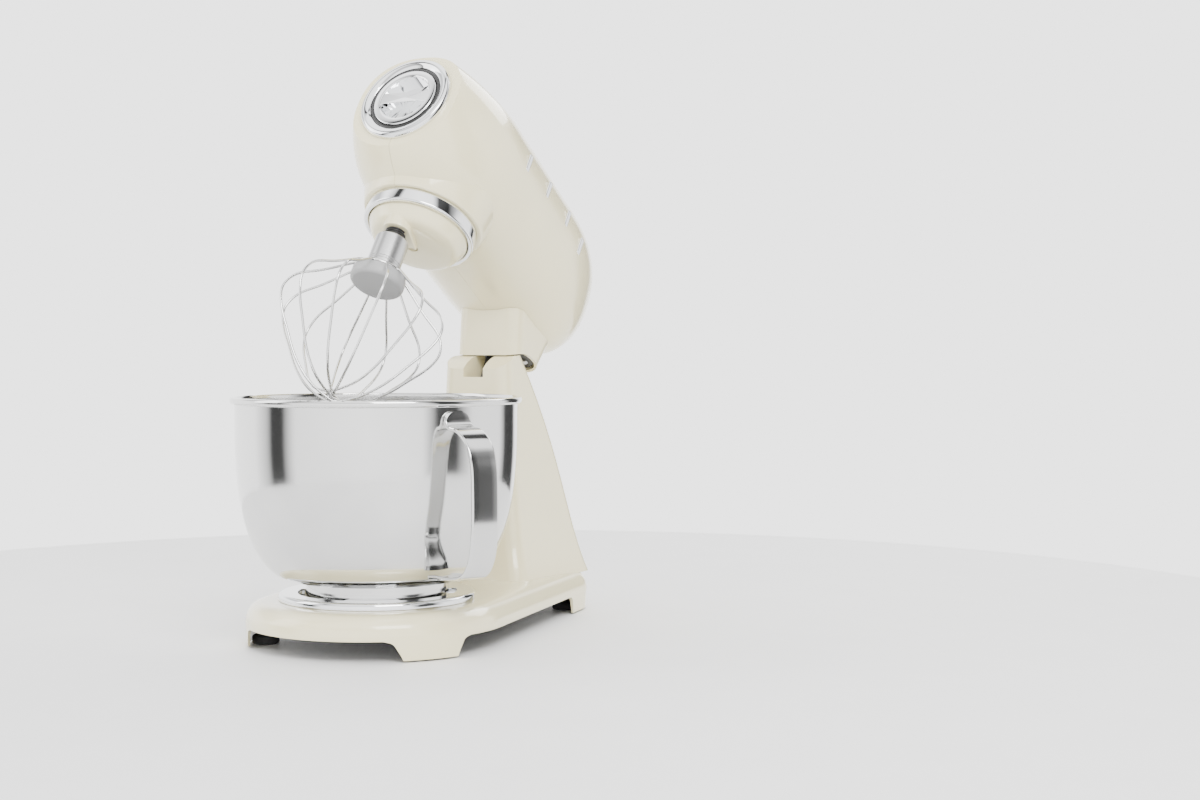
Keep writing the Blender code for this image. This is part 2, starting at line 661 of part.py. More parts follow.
def head_solid(name, inset=0.0, surface=None):
    """The head's outer form, or its inner form with an inset, with the boss over the hub."""
    stations = [HEAD_FRONT_Y, -0.070, -0.058, -0.042, -0.020, 0.040, 0.100, 0.160, 0.190, 0.210,
                0.226, 0.238, 0.246, 0.2500]
    middle = (stations[0] + stations[-1]) / 2
    shrink = 1 - 2 * inset / (stations[-1] - stations[0])
    rings = []
    for y in stations:
        ring_points = head_ring(y, min(inset, 0.003))
        place = middle + (y - middle) * shrink
        rings.append([Vector((p.x, place, p.z)) for p in ring_points])
    body = loft(name, rings, surface)
    boss_low = HUB_RING_TOP_Z + GAP + (inset if inset > 0 else 0)
    boss = turned("boss", [(0, boss_low), (HUB_RADIUS + 0.004 - inset, boss_low),
                           (HUB_RADIUS + 0.0065 - inset, boss_low + 0.006),
                           (HUB_RADIUS + 0.0125 - inset, 0.312), (0, 0.312)], MEDIUM + 4)
    return combine(body, [boss], "UNION")


def make_head_shells(looks):
    """The right half is cut out of the whole head, and the left half is its mirror image."""
    right = head_solid("head_shell_right", 0.0, looks["cream"])
    tools = [head_solid("inside", HEAD_WALL), box("away", (-0.1, -0.2, 0.2), (GAP / 2, 0.4, 0.5))]
    tools.append(along_y(cylinder("front_hole", BEZEL_RADIUS - 0.0035, -0.1, -0.05, sides=LARGE), 0, CAP_Z))
    tools.append(cylinder("hub_hole", HUB_RADIUS - 0.004, 0.24, 0.285))
    tools.append(cylinder("hub_seat", HUB_RADIUS + 0.001, 0.25, HUB_RING_TOP_Z + 2 * GAP))
    tools.append(box("neck_hole", (-0.0260, HINGE.y - 0.036, 0.25), (0.0260, HINGE.y + 0.012, 0.30)))
    tools.append(box("lever_slot", (-0.0032, LEVER_Y - 0.006, 0.37),
                     (0.0032, LEVER_Y + LEVER_TRAVEL + 0.006, 0.42)))
    for z in VENT_ROWS:
        tools.append(box("vent", (0.014, 0.20, z), (0.044, 0.28, z + 0.0045)))
    combine(right, tools)
    left = add_object("head_shell_left", [(-v.co.x, v.co.y, v.co.z) for v in right.data.vertices],
                      [tuple(reversed(face.vertices)) for face in right.data.polygons], looks["cream"])
    return [left, right]


def neck_ring(z, inset=0.0):
    """The collar's outline: its front leans forward as it rises, its rear leans back a little."""
    rise = z - HEAD_BOTTOM_Z
    front = COLLAR_FRONT_Y - 0.56 * rise + inset
    rear = COLLAR_REAR_Y + 0.20 * rise - inset
    corner = min(0.016 - inset / 2, 0.4 * (rear - front))
    return [Vector((x, y, z)) for x, y in rounded_box_outline(COLLAR_HALF - inset, front, rear, corner)]


def make_neck(looks):
    low, high = HINGE.z + 0.020, HEAD_BOTTOM_Z + 0.032
    collar = loft("neck_collar", [neck_ring(z) for z in (low, high)], looks["cream"])
    inside = loft("inside", [neck_ring(z, COLLAR_WALL) for z in (low - 0.01, high + 0.01)])
    drum = along_x(cylinder("drum", EAR_RADIUS + PLAY, -0.1, 0.1, sides=LARGE), HINGE.y, HINGE.z)
    combine(collar, [inside, head_solid("head", -GAP), drum])
    plate_low = HINGE.z + EAR_RADIUS + PLAY + 0.0015
    plate_rings = [neck_ring(z, COLLAR_WALL + GAP) for z in (plate_low, plate_low + 0.0025)]
    plate = loft("neck_plate", plate_rings, looks["dark"])
    half = NOTCH_HALF - PLAY + GAP
    combine(plate, [box("opening", (-half, BLOCK_FRONT_Y - 0.0015, 0.2), (half, BLOCK_REAR_Y + 0.006, 0.3))])
    screw_top = plate_low - GAP
    screw = turned("neck_screw", [(0, screw_top - 0.0014), (0.0025, screw_top - 0.0014),
                                  (0.0034, screw_top - 0.0006), (0.0034, screw_top), (0, screw_top)],
                   SMALL, looks["steel"], (0.021, HINGE.y + 0.001))
    return collar, plate, screw


def make_hinge_block(looks):
    half = NOTCH_HALF - PLAY
    top = CHASSIS_Z - GAP
    profile = wrapped_outline([
        (HINGE.y, HINGE.z, KNUCKLE_RADIUS),
        (BLOCK_REAR_Y - 0.003, top - 0.003, 0.003),
        (BLOCK_FRONT_Y + 0.003, top - 0.003, 0.003),
    ], radians(15))
    rings = [[Vector((x, y, z)) for y, z in profile] for x in (-half, half)]
    block = loft("hinge_block", rings, looks["dark"])
    flange = box("flange", (-0.024, HINGE.y - 0.034, HEAD_BOTTOM_Z - 0.007),
                 (0.024, HINGE.y + 0.010, top - 0.0001))
    combine(block, [flange], "UNION")
    bore = along_x(cylinder("bore", BUSH_RADIUS + GAP, -0.05, 0.05, sides=SMALL), HINGE.y, HINGE.z)
    combine(block, [bore])
    bushes = []
    for side, name in ((-1, "hinge_bush_left"), (1, "hinge_bush_right")):
        ends = sorted((side * (half - 0.0005), side * (half - 0.0085)))
        bush = ring(name, PIN_RADIUS + GAP, BUSH_RADIUS, ends[0], ends[1], looks["nylon"], sides=SMALL)
        bushes.append(along_x(bush, HINGE.y, HINGE.z))
    return block, *bushes


def make_front(looks):
    face = HEAD_FRONT_Y - GAP
    bezel = along_y(turned("front_bezel", [
        (CAP_RADIUS + 0.0035, face + 0.010), (CAP_RADIUS + 0.0035, face - 0.0030),
        (BEZEL_RADIUS - 0.004, face - 0.0052), (BEZEL_RADIUS - 0.001, face - 0.0040),
        (BEZEL_RADIUS, face - 0.0015), (BEZEL_RADIUS, face), (BEZEL_RADIUS - 0.0038, face),
        (BEZEL_RADIUS - 0.0038, face + 0.010)], LARGE, looks["chrome"]), 0, CAP_Z)
    seal = along_y(ring("front_seal", CAP_RADIUS + GAP, CAP_RADIUS + 0.0035 - GAP, face - 0.0026,
                        face + 0.009, looks["black"], sides=LARGE), 0, CAP_Z)
    socket = along_y(turned("accessory_socket", [
        (0.0075, face + 0.0125), (0.0140, face + 0.0125), (0.0140, face + 0.040), (0.0075, face + 0.040)],
        SMALL, looks["steel"]), 0, CAP_Z)
    support = along_y(ring("socket_bearing", 0.0140 + GAP, BEZEL_RADIUS - 0.006, face + 0.022,
                           face + 0.030, looks["aluminium"], sides=MEDIUM), 0, CAP_Z)
    cap = along_y(turned("hub_cap", [
        (0, face + 0.010), (0.0070, face + 0.010), (0.0070, face + 0.006), (CAP_RADIUS, face + 0.006),
        (CAP_RADIUS, face - 0.0030), (CAP_RADIUS - 0.0012, face - 0.0042), (0.0245, face - 0.0042),
        (0.0238, face - 0.0036), (0, face - 0.0036)], MEDIUM, looks["chrome"]), 0, CAP_Z)
    hollows = []
    for side in (-1, 1):
        moon = along_y(cylinder("moon", 0.0235, face - 0.02, face + 0.0035, sides=LARGE), 0, CAP_Z)
        if side > 0:
            rest = box("rest", (-0.05, face - 0.03, 0.2), (0.05, face + 0.02, CAP_Z + 0.0058))
        else:
            rest = box("rest", (-0.05, face - 0.03, CAP_Z - 0.0058), (0.05, face + 0.02, 0.5))
        hollows.append(combine(moon, [rest]))
    combine(cap, hollows)
    return bezel, seal, socket, support, cap


# ---------------------------------------------------------------- drive inside the head
def make_drive_frame(looks):
    outline = (arc(0, 0, RING_GEAR_RADIUS, 150, 390, 18) + arc(0.026, 0.176, 0.010, 0, 90, 4)
               + arc(-0.026, 0.176, 0.010, 90, 180, 4))
    chassis = prism("chassis_plate", outline, CHASSIS_Z, CHASSIS_Z + CHASSIS_THICKNESS, looks["aluminium"])
    bores = [cylinder("bore", CENTRAL_SHAFT_RADIUS + GAP, 0.2, 0.3, sides=SMALL),
             cylinder("bore", 0.004 + GAP, 0.2, 0.3, centre=(0, TRAIN_Y), sides=SMALL)]
    combine(chassis, bores)
    hub_ring = turned("hub_ring", [
        (COVER_RADIUS + PLAY, HUB_RING_BOTTOM_Z + 0.001), (HUB_RADIUS - 0.0015, HUB_RING_BOTTOM_Z),
        (HUB_RADIUS, HUB_RING_BOTTOM_Z + 0.002), (HUB_RADIUS, HUB_RING_TOP_Z - 0.001),
        (HUB_RADIUS - 0.001, HUB_RING_TOP_Z), (COVER_RADIUS + PLAY, HUB_RING_TOP_Z)], LARGE, looks["chrome"])
    gear = cylinder("ring_gear", RING_GEAR_RADIUS, RING_GEAR_Z, RING_GEAR_Z + RING_GEAR_HEIGHT - GAP,
                    looks["steel"], sides=LARGE)
    teeth = prism("teeth", gear_outline(RING_TEETH, PLANET_MODULE, outside=False, thinning=0.02,
                                        phase=-pi / 2 + pi / RING_TEETH), 0.25, 0.30)
    combine(gear, [teeth])
    bridge_outline = wrapped_outline([(0, TRAIN_Y, 0.014), (0.030, MOTOR_Y - 0.010, 0.008),
                                      (0.030, MOTOR_Y + 0.020, 0.008), (-0.030, MOTOR_Y + 0.020, 0.008),
                                      (-0.030, MOTOR_Y - 0.010, 0.008)], radians(30))
    bridge = prism("drive_bridge", bridge_outline, BRIDGE_Z, BRIDGE_Z + BRIDGE_THICKNESS,
                   looks["aluminium"])
    legs = [cylinder("leg", 0.0035, CHASSIS_Z + CHASSIS_THICKNESS + GAP, BRIDGE_Z + 0.001,
                     centre=(x, y), sides=TINY)
            for x, y in ((0.034, MOTOR_Y - 0.028), (-0.034, MOTOR_Y - 0.028),
                         (0.032, MOTOR_Y + 0.0235), (-0.032, MOTOR_Y + 0.0235))]
    combine(bridge, legs, "UNION")
    combine(bridge, [cylinder("bore", 0.004 + GAP, 0.3, 0.4, centre=(0, TRAIN_Y), sides=SMALL),
                     cylinder("bore", 0.0085, 0.3, 0.4, centre=(0, MOTOR_Y), sides=SMALL)])
    return chassis, hub_ring, gear, bridge


def make_motor(looks):
    place = (0, MOTOR_Y)
    low, high = STATOR_Z, STATOR_Z + STATOR_HEIGHT
    bore = ROTOR_RADIUS + 0.0020
    stator = ring("motor_stator", bore, 0.0300, low, high, looks["steel"], place, MEDIUM)
    windings = turned("motor_winding", [
        (ROTOR_RADIUS + 0.0006, low - 0.0055), (0.0272, low - 0.0055), (0.0272, low - GAP),
        (bore - GAP, low - GAP), (bore - GAP, high + GAP), (0.0272, high + GAP),
        (0.0272, high + 0.0055), (ROTOR_RADIUS + 0.0006, high + 0.0055)],
        MEDIUM, looks["copper"], place)
    lower_low = CHASSIS_Z + CHASSIS_THICKNESS + GAP
    lower = turned("motor_plate_lower", [
        (0.004 + GAP, lower_low), (0.0300, lower_low), (0.0300, low - GAP), (0.0282, low - GAP),
        (0.0282, lower_low + 0.002), (0.004 + GAP, lower_low + 0.002)], SMALL, looks["aluminium"], place)
    upper_high = BRIDGE_Z - GAP
    upper = turned("motor_plate_upper", [
        (0.004 + GAP, upper_high - 0.002), (0.0282, upper_high - 0.002), (0.0282, high + GAP),
        (0.0300, high + GAP), (0.0300, upper_high), (0.004 + GAP, upper_high)],
        SMALL, looks["aluminium"], place)
    shaft = cylinder("motor_shaft", 0.004, lower_low + GAP, BELT_Z + BELT_WIDTH + 0.002, looks["steel"],
                     place, SMALL)
    core = ring("motor_rotor", 0.004 + GAP, ROTOR_RADIUS, low, high, looks["steel"], place, MEDIUM)
    fan = make_fan(looks, place, high)
    pulley = flanged_pulley("motor_pulley", looks, MOTOR_PULLEY_RADIUS, 0.004, place)
    return (stator, windings, lower, upper), (shaft, core, fan, pulley)


def make_fan(looks, place, low):
    fan = ring("motor_fan", 0.004 + GAP, 0.008, low + GAP, low + 0.006, looks["nylon"], place, SMALL)
    blades = []
    for k in range(8):
        blade = box("blade", (0.0075, -0.0008, low + GAP + 0.0001), (0.0195, 0.0008, low + 0.0059))
        blade.data.transform(Matrix.Translation((*place, 0)) @ Matrix.Rotation(tau * k / 8, 4, "Z"))
        blades.append(blade)
    return combine(fan, blades, "UNION")


def flanged_pulley(name, looks, radius, bore, place):
    low, high = BELT_Z - 0.0008, BELT_Z + BELT_WIDTH + 0.0008
    profile = [(bore + GAP, low - 0.001), (radius + 0.002, low - 0.001), (radius + 0.002, low),
               (radius, low), (radius, high), (radius + 0.002, high), (radius + 0.002, high + 0.001),
               (bore + GAP, high + 0.001)]
    return turned(name, profile, MEDIUM if radius > 0.02 else SMALL, looks["nylon"], place)


def make_belt(looks):
    outer = belt_outline(BELT_THICKNESS + GAP)
    inner = belt_outline(GAP)
    count = len(outer)
    rings = []
    for outline, z in ((outer, BELT_Z), (outer, BELT_Z + BELT_WIDTH), (inner, BELT_Z + BELT_WIDTH),
                       (inner, BELT_Z)):
        rings.append([Vector((x, y, z)) for x, y in outline])
    points = [point for level in rings for point in level]
    faces = []
    for level in range(4):
        low, high = level * count, (level + 1) % 4 * count
        for i in range(count):
            j = (i + 1) % count
            faces.append((low + i, low + j, high + j, high + i))
    return add_object("drive_belt", points, faces, looks["rubber"])


def belt_outline(extra):
    return wrapped_outline([(0, TRAIN_Y, PULLEY_RADIUS + extra), (0, MOTOR_Y, MOTOR_PULLEY_RADIUS + extra)],
                           radians(10))


def make_intermediate(looks):
    place = (0, TRAIN_Y)
    shaft = cylinder("pinion_shaft", 0.004, CHASSIS_Z + GAP, BELT_Z + BELT_WIDTH + 0.003,
                     looks["steel"], place, SMALL)
    outline = moved_outline(gear_outline(PINION_TEETH, TRAIN_MODULE, thinning=0.02, phase=-pi / 2), *place)
    pinion = prism("pinion", outline, TRAIN_Z, TRAIN_Z + TRAIN_HEIGHT + 0.001)
    combine(shaft, [pinion], "UNION")
    pulley = flanged_pulley("large_pulley", looks, PULLEY_RADIUS, 0.004, place)
    return shaft, pulley


def make_planetary(looks):
    shaft = cylinder("central_shaft", CENTRAL_SHAFT_RADIUS, HUB_RING_BOTTOM_Z + 0.003,
                     TRAIN_Z + TRAIN_HEIGHT + 0.001, looks["steel"], sides=SMALL)
    main = prism("main_gear", gear_outline(MAIN_TEETH, TRAIN_MODULE, thinning=0.02,
                                           phase=pi / 2 + pi / MAIN_TEETH),
                 TRAIN_Z, TRAIN_Z + TRAIN_HEIGHT, looks["nylon"])
    combine(main, [cylinder("bore", CENTRAL_SHAFT_RADIUS + GAP, 0.2, 0.4, sides=SMALL)])
    carrier_low, carrier_high = HUB_RING_BOTTOM_Z + 0.004, HUB_RING_TOP_Z - 0.0005
    carrier = cylinder("planet_carrier", COVER_RADIUS - 0.001, carrier_low, carrier_high,
                       looks["aluminium"], sides=LARGE)
    combine(carrier, [cylinder("bore", CENTRAL_SHAFT_RADIUS + GAP, 0.2, 0.4, sides=SMALL),
                      cylinder("bore", SHAFT_RADIUS + GAP, 0.2, 0.4, centre=(0, SHAFT_Y), sides=SMALL)])
    cover_top = carrier_low - GAP
    cover = turned("planet_cover", [
        (0, cover_top), (COVER_RADIUS, cover_top), (COVER_RADIUS, cover_top - 0.004),
        (COVER_RADIUS - 0.0015, cover_top - 0.0068), (COVER_RADIUS - 0.006, COVER_BOTTOM_Z + 0.0045),
        (COVER_RADIUS - 0.014, COVER_BOTTOM_Z + 0.0014), (0.012, COVER_BOTTOM_Z),
        (0, COVER_BOTTOM_Z)], LARGE, looks["cream"])
    teardrop = wrapped_outline([(0, -0.004, 0.006), (0, SHAFT_Y, 0.0125)], radians(15))
    boss = prism("boss", teardrop, COVER_BOTTOM_Z - 0.0035, COVER_BOTTOM_Z + 0.010)
    combine(cover, [boss], "UNION")
    combine(cover, [cylinder("bore", SHAFT_RADIUS + 0.0006, 0.2, 0.4, centre=(0, SHAFT_Y), sides=SMALL),
                    cylinder("recess", 0.0050, 0.2, COVER_BOTTOM_Z + 0.004, sides=SMALL),
                    cylinder("shaft_end", CENTRAL_SHAFT_RADIUS + GAP, COVER_BOTTOM_Z + 0.0095, 0.4,
                             sides=SMALL)])
    screw = turned("cover_screw", [(0, COVER_BOTTOM_Z + 0.0012), (0.0040, COVER_BOTTOM_Z + 0.0012),
                                   (0.0040, COVER_BOTTOM_Z + 0.004 - GAP), (0, COVER_BOTTOM_Z + 0.004 - GAP)],
                   16, looks["steel"])
    return shaft, main, carrier, cover, screw


def make_beater_shaft(looks):
    place = (0, SHAFT_Y)
    top = RING_GEAR_Z + RING_GEAR_HEIGHT - 0.0008
    shaft = turned("beater_shaft", [
        (0, SHAFT_END_Z), (SHAFT_RADIUS - 0.001, SHAFT_END_Z), (SHAFT_RADIUS, SHAFT_END_Z + 0.001),
        (SHAFT_RADIUS, top), (0, top)], SMALL, looks["steel"], place)
    cross = along_x(cylinder("cross", 0.0016 + 0.0001, -0.02, 0.02, sides=TINY), SHAFT_Y, PIN_Z)
    combine(shaft, [cross])
    outline = moved_outline(gear_outline(PLANET_TEETH, PLANET_MODULE, thinning=0.02, phase=-pi / 2), *place)
    pinion = prism("planet_pinion", outline, RING_GEAR_Z, RING_GEAR_Z + RING_GEAR_HEIGHT - 0.001,
                   looks["steel"])
    combine(pinion, [cylinder("bore", SHAFT_RADIUS + GAP, 0.2, 0.4, centre=place, sides=SMALL)])
    pin = along_x(cylinder("beater_pin", 0.0014, -0.0095, 0.0095, looks["steel"], sides=TINY), SHAFT_Y, PIN_Z)
    washer_top = WHISK_TOP_Z + 0.0019
    spring = ring("shaft_spring", SHAFT_RADIUS + GAP, 0.0125, WHISK_TOP_Z + GAP, washer_top,
                  looks["black"], place)
    turns = coil("turns", looks["black"], 0.0085, 0.0008, washer_top - 0.0005,
                 COVER_BOTTOM_Z - 0.0035 - GAP, 3, centre=place)
    combine(spring, [turns], "UNION")
    return shaft, pinion, pin, spring


# ---------------------------------------------------------------- whisk
def make_whisk(looks):
    place = (0, SHAFT_Y)
    bottom = WHISK_HUB_BOTTOM_Z
    hub = turned("whisk_hub", [
        (SHAFT_RADIUS + 0.0006, WHISK_TOP_Z), (WHISK_HUB_RADIUS - 0.001, WHISK_TOP_Z),
        (WHISK_HUB_RADIUS, WHISK_TOP_Z - 0.001), (WHISK_HUB_RADIUS, bottom),
        (SHAFT_RADIUS + 0.0006, bottom)], MEDIUM, looks["brushed"], place)
    slot = box("slot", (-0.0100, SHAFT_Y - 0.0020, PIN_Z - 0.0022), (0.0100, SHAFT_Y + 0.0020, 0.25))
    combine(hub, [slot])
    disc_low, disc_top = WHISK_DISC_BOTTOM_Z, WHISK_DISC_TOP_Z
    disc = turned("whisk_disc", [
        (0, disc_low), (WHISK_DISC_RADIUS - 0.0035, disc_low), (WHISK_DISC_RADIUS, disc_low + 0.0035),
        (WHISK_DISC_RADIUS, disc_top - 0.001), (WHISK_DISC_RADIUS - 0.001, disc_top), (0, disc_top)],
        MEDIUM, looks["grey"], place)
    wires = cylinder("whisk_wires", WHISK_DISC_RADIUS - 0.001, WIRE_PLATE_Z,
                     WIRE_PLATE_Z + WIRE_PLATE_THICKNESS, looks["stainless"], place)
    loops = []
    for k in range(WIRE_LOOPS):
        path = whisk_path(k)
        turn = Matrix.Translation((*place, 0)) @ Matrix.Rotation(pi * (k + 0.5) / WIRE_LOOPS, 4, "Z")
        loops.append(wire_along("loop", looks["stainless"], [turn @ Vector((x, 0, z)) for x, z in path],
                                WIRE_RADIUS))
    return hub, disc, combine(wires, loops, "UNION")


def whisk_path(index):
    """One loop in its own plane. Each loop crosses the axis above the one before."""
    start = WIRE_PLATE_Z + WIRE_PLATE_THICKNESS / 2
    lift = index * (2 * WIRE_RADIUS + 0.0003)
    tall = start - WHISK_TIP_Z - WIRE_RADIUS
    root = WHISK_DISC_RADIUS - 0.003
    knots = [(root, start), (root + 0.0035, start - 0.0004)]
    knots += [(WHISK_RADIUS * share, start - drop * tall) for share, drop in (
        (0.65, 0.150), (0.87, 0.225), (0.97, 0.305), (1.0, 0.40), (0.90, 0.53), (0.76, 0.64), (0.58, 0.79),
        (0.31, 0.93))]
    half = smooth_curve(knots + [(0.0, start - tall)], 2)
    lifted = [(x, z + lift * ((start - z) / tall) ** 8) for x, z in half]
    return lifted + [(-x, z) for x, z in reversed(lifted[:-1])]


# ---------------------------------------------------------------- controls
def make_controls(looks):
    top = HEAD_TOP_Z + 0.0005
    track = box("speed_track", (-0.0085, LEVER_Y - 0.011, top), (0.0085, LEVER_Y + LEVER_TRAVEL + 0.011,
                                                             top + 0.0015), looks["black"])
    combine(track, [box("slot", (-0.0032, LEVER_Y - 0.006, 0.3), (0.0032, LEVER_Y + LEVER_TRAVEL + 0.006,
                                                              0.5))])
    lever = box("speed_lever", (-0.0024, LEVER_Y - 0.004, 0.378), (0.0024, LEVER_Y + 0.004, top + 0.004),
                looks["chrome"])
    knob_low = top + 0.0015 + PLAY
    knob = loft("knob", [[Vector((x, y, z)) for x, y in rounded_box_outline(
        half, LEVER_Y - reach, LEVER_Y + reach, 0.004)]
        for z, half, reach in ((knob_low, 0.010, 0.0065), (knob_low + 0.005, 0.011, 0.0075),
                               (knob_low + 0.008, 0.0095, 0.006))])
    combine(lever, [knob], "UNION")
    slot_rear = LEVER_Y + LEVER_TRAVEL
    slider = box("speed_slider", (-0.012, LEVER_Y - 0.010, 0.3655), (0.012, slot_rear + 0.010, 0.372),
                 looks["dark"])
    groove = box("groove", (-0.0032, LEVER_Y - 0.0065, 0.3685), (0.0032, slot_rear + 0.0065, 0.4))
    combine(slider, [groove])
    board = box("control_board", (-0.030, 0.190, 0.292), (0.030, 0.1916, 0.362), looks["board"])
    return track, lever, slider, board


# ---------------------------------------------------------------- assembly
def empty(name, parent, place):
    made = bpy.data.objects.new(name, None)
    made.location = place
    made.parent = parent
    bpy.context.collection.objects.link(made)
    return made


def attach(pieces, carrier, carrier_point, pivot):
    """Parents pieces to an empty, each with its origin on pivot."""
    pivot, carrier_point = Vector(pivot), Vector(carrier_point)
    for piece in pieces:
        piece.data.transform(Matrix.Translation(-pivot))
        piece.parent = carrier
        piece.location = pivot - carrier_point


def stand_on_origin(root):
    """Moves the whole mixer until the centre of its box's lower face is the origin."""
    bpy.context.view_layer.update()
    points = [piece.matrix_world @ vertex.co for piece in bpy.data.objects
              if piece.type == "MESH" for vertex in piece.data.vertices]
    lows = [min(point[i] for point in points) for i in range(3)]
    highs = [max(point[i] for point in points) for i in range(3)]
    root.location = (-(lows[0] + highs[0]) / 2, -(lows[1] + highs[1]) / 2, -lows[2])


def main():
    for old in list(bpy.data.objects):
        bpy.data.objects.remove(old)
    looks = make_looks()
    root = empty("mixer", None, (0, 0, 0))
    head = empty("head_pivot", root, HINGE)
    head.rotation_euler = (-HEAD_TILT, 0, 0)
    ground = (0, 0, 0)

    button, guide, spring = make_latch(looks)
    attach([make_base_housing(looks), *make_underside(looks), make_seat(looks), make_hinge_pin(looks),
            guide, spring], root, ground, ground)
    attach([button], root, ground, (0, column_rear(BUTTON_Z), BUTTON_Z))
    attach([make_slip_ring(looks), make_bowl(looks), make_bowl_foot(looks), make_handle(looks)],
           root, ground, (0, 0, SEAT_Z))

    bezel, seal, socket, bearing, cap = make_front(looks)
    chassis, hub_ring, ring_gear, bridge = make_drive_frame(looks)
    motor_fixed, motor_turning = make_motor(looks)
    track, lever, slider, board = make_controls(looks)
    attach([*make_head_shells(looks), *make_neck(looks), *make_hinge_block(looks), bezel, seal, bearing,
            chassis, hub_ring, ring_gear, bridge, *motor_fixed, make_belt(looks), track, slider, board],
           head, HINGE, HINGE)
    attach([lever], head, HINGE, (0, LEVER_Y, HEAD_TOP_Z))
    attach([socket, cap], head, HINGE, (0, HEAD_FRONT_Y, CAP_Z))
    attach(motor_turning, head, HINGE, (0, MOTOR_Y, STATOR_Z))
    attach(make_intermediate(looks), head, HINGE, (0, TRAIN_Y, TRAIN_Z))
    attach(make_planetary(looks), head, HINGE, (0, 0, HUB_RING_BOTTOM_Z))
    attach([*make_beater_shaft(looks), *make_whisk(looks)], head, HINGE, (0, SHAFT_Y, WHISK_TOP_Z))

    for piece in bpy.data.objects:
        if piece.type == "MESH":
            piece.data.shade_smooth()
            piece.data.set_sharp_from_angle(angle=radians(35))
    stand_on_origin(root)


main()
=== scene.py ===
"""Tilt-head stand mixer: its finished pieces and materials, placed on its frame.

The pieces are drawn about the bowl's axis (x = y = 0) on the floor (z = 0), with the front towards -Y
and the head level. BASE_PLACE and HEAD_PLACE then carry them into the frame.
"""
import json
from math import acos, atan2, ceil, cos, hypot, pi, radians, sin, sqrt, tau

import bmesh
import bpy
from bpy.props import FloatProperty, FloatVectorProperty, PointerProperty
from bpy.types import Operator, Panel, PropertyGroup
from mathutils import Matrix, Vector


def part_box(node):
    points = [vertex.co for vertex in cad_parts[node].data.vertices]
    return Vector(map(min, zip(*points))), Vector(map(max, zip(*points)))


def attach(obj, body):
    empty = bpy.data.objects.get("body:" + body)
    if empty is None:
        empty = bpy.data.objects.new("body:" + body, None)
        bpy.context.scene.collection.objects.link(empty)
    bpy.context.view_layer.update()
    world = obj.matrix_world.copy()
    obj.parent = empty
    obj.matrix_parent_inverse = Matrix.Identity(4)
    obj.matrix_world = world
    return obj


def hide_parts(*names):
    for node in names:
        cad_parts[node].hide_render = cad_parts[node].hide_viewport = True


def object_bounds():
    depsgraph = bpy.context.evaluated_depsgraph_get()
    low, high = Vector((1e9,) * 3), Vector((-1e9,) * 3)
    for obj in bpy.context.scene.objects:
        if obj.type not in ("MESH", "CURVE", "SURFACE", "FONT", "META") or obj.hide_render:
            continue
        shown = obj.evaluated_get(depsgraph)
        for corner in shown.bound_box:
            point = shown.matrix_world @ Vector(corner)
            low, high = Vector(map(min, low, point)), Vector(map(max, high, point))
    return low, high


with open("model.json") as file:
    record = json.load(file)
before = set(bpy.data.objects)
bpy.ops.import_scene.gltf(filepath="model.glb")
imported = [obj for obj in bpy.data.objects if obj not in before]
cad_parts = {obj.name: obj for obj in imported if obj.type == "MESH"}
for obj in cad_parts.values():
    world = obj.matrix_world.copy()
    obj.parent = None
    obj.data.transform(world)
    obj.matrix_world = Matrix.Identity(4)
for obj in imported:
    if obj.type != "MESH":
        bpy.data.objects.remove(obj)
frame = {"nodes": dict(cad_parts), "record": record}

bl_info = {
    "name": "Stand Mixer",
    "version": (1, 0, 0),
    "blender": (4, 5, 0),
    "location": "View3D > Sidebar > Mixer",
    "description": "Finished pieces and materials for a tilt-head stand mixer",
    "category": "Object",
}

CAD_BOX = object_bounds()

# ---- sizes, in metres
GAP = 0.0003
HINGE = Vector((0.0, 0.186, 0.197))
HEAD_TILT = radians(34)

BASE_RADIUS = 0.1105
BASE_REAR_Y = 0.280
BASE_REAR_HALF = 0.070
BASE_CORNER = 0.045
BASE_TOP_Z = 0.038
SKIRT_Z = 0.0015
ARCH_Z = 0.0175
FOOT_RADIUS = 0.0115
FOOT_TOP_Z = 0.0192
COLUMN_FRONT_Y = 0.155
COLUMN_TOP_Z = 0.242
COLUMN_TOP_HALF = 0.0337
COLUMN_TOP_REAR_Y = 0.1934
COLUMN_WALL = 0.004
EAR_RADIUS = 0.045
NOTCH_HALF = 0.0105
NOTCH_FRONT_Z = 0.222
NOTCH_REAR_Z = 0.196
POCKET_Z = 0.168
KNUCKLE_RADIUS = 0.014
PIN_RADIUS = 0.004
SCREW_PLACES = [(-0.060, -0.062), (0.060, -0.062), (-0.0655, 0.195), (0.0655, 0.195)]
BUTTON_Z = 0.150
BUTTON_RADIUS = 0.010
INLET_Z = 0.0285
INLET_RADIUS = 0.0058

BOWL_RADIUS = 0.1185
BOWL_RIM_Z = 0.208
BOWL_FLOOR_Z = 0.0535
BOWL_WALL = 0.0012
RIM_ROLL = 0.0020
HANDLE_AZIMUTH = radians(66)
HANDLE_WIDTH = 0.025
HANDLE_THICKNESS = 0.0032
HANDLE_REACH = 0.0375
SEAT_RADIUS = 0.083
SEAT_Z = BASE_TOP_Z + GAP
SEAT_TOP_Z = 0.044
SEAT_INNER = 0.0668
FOOT_RING_RADIUS = 0.0600

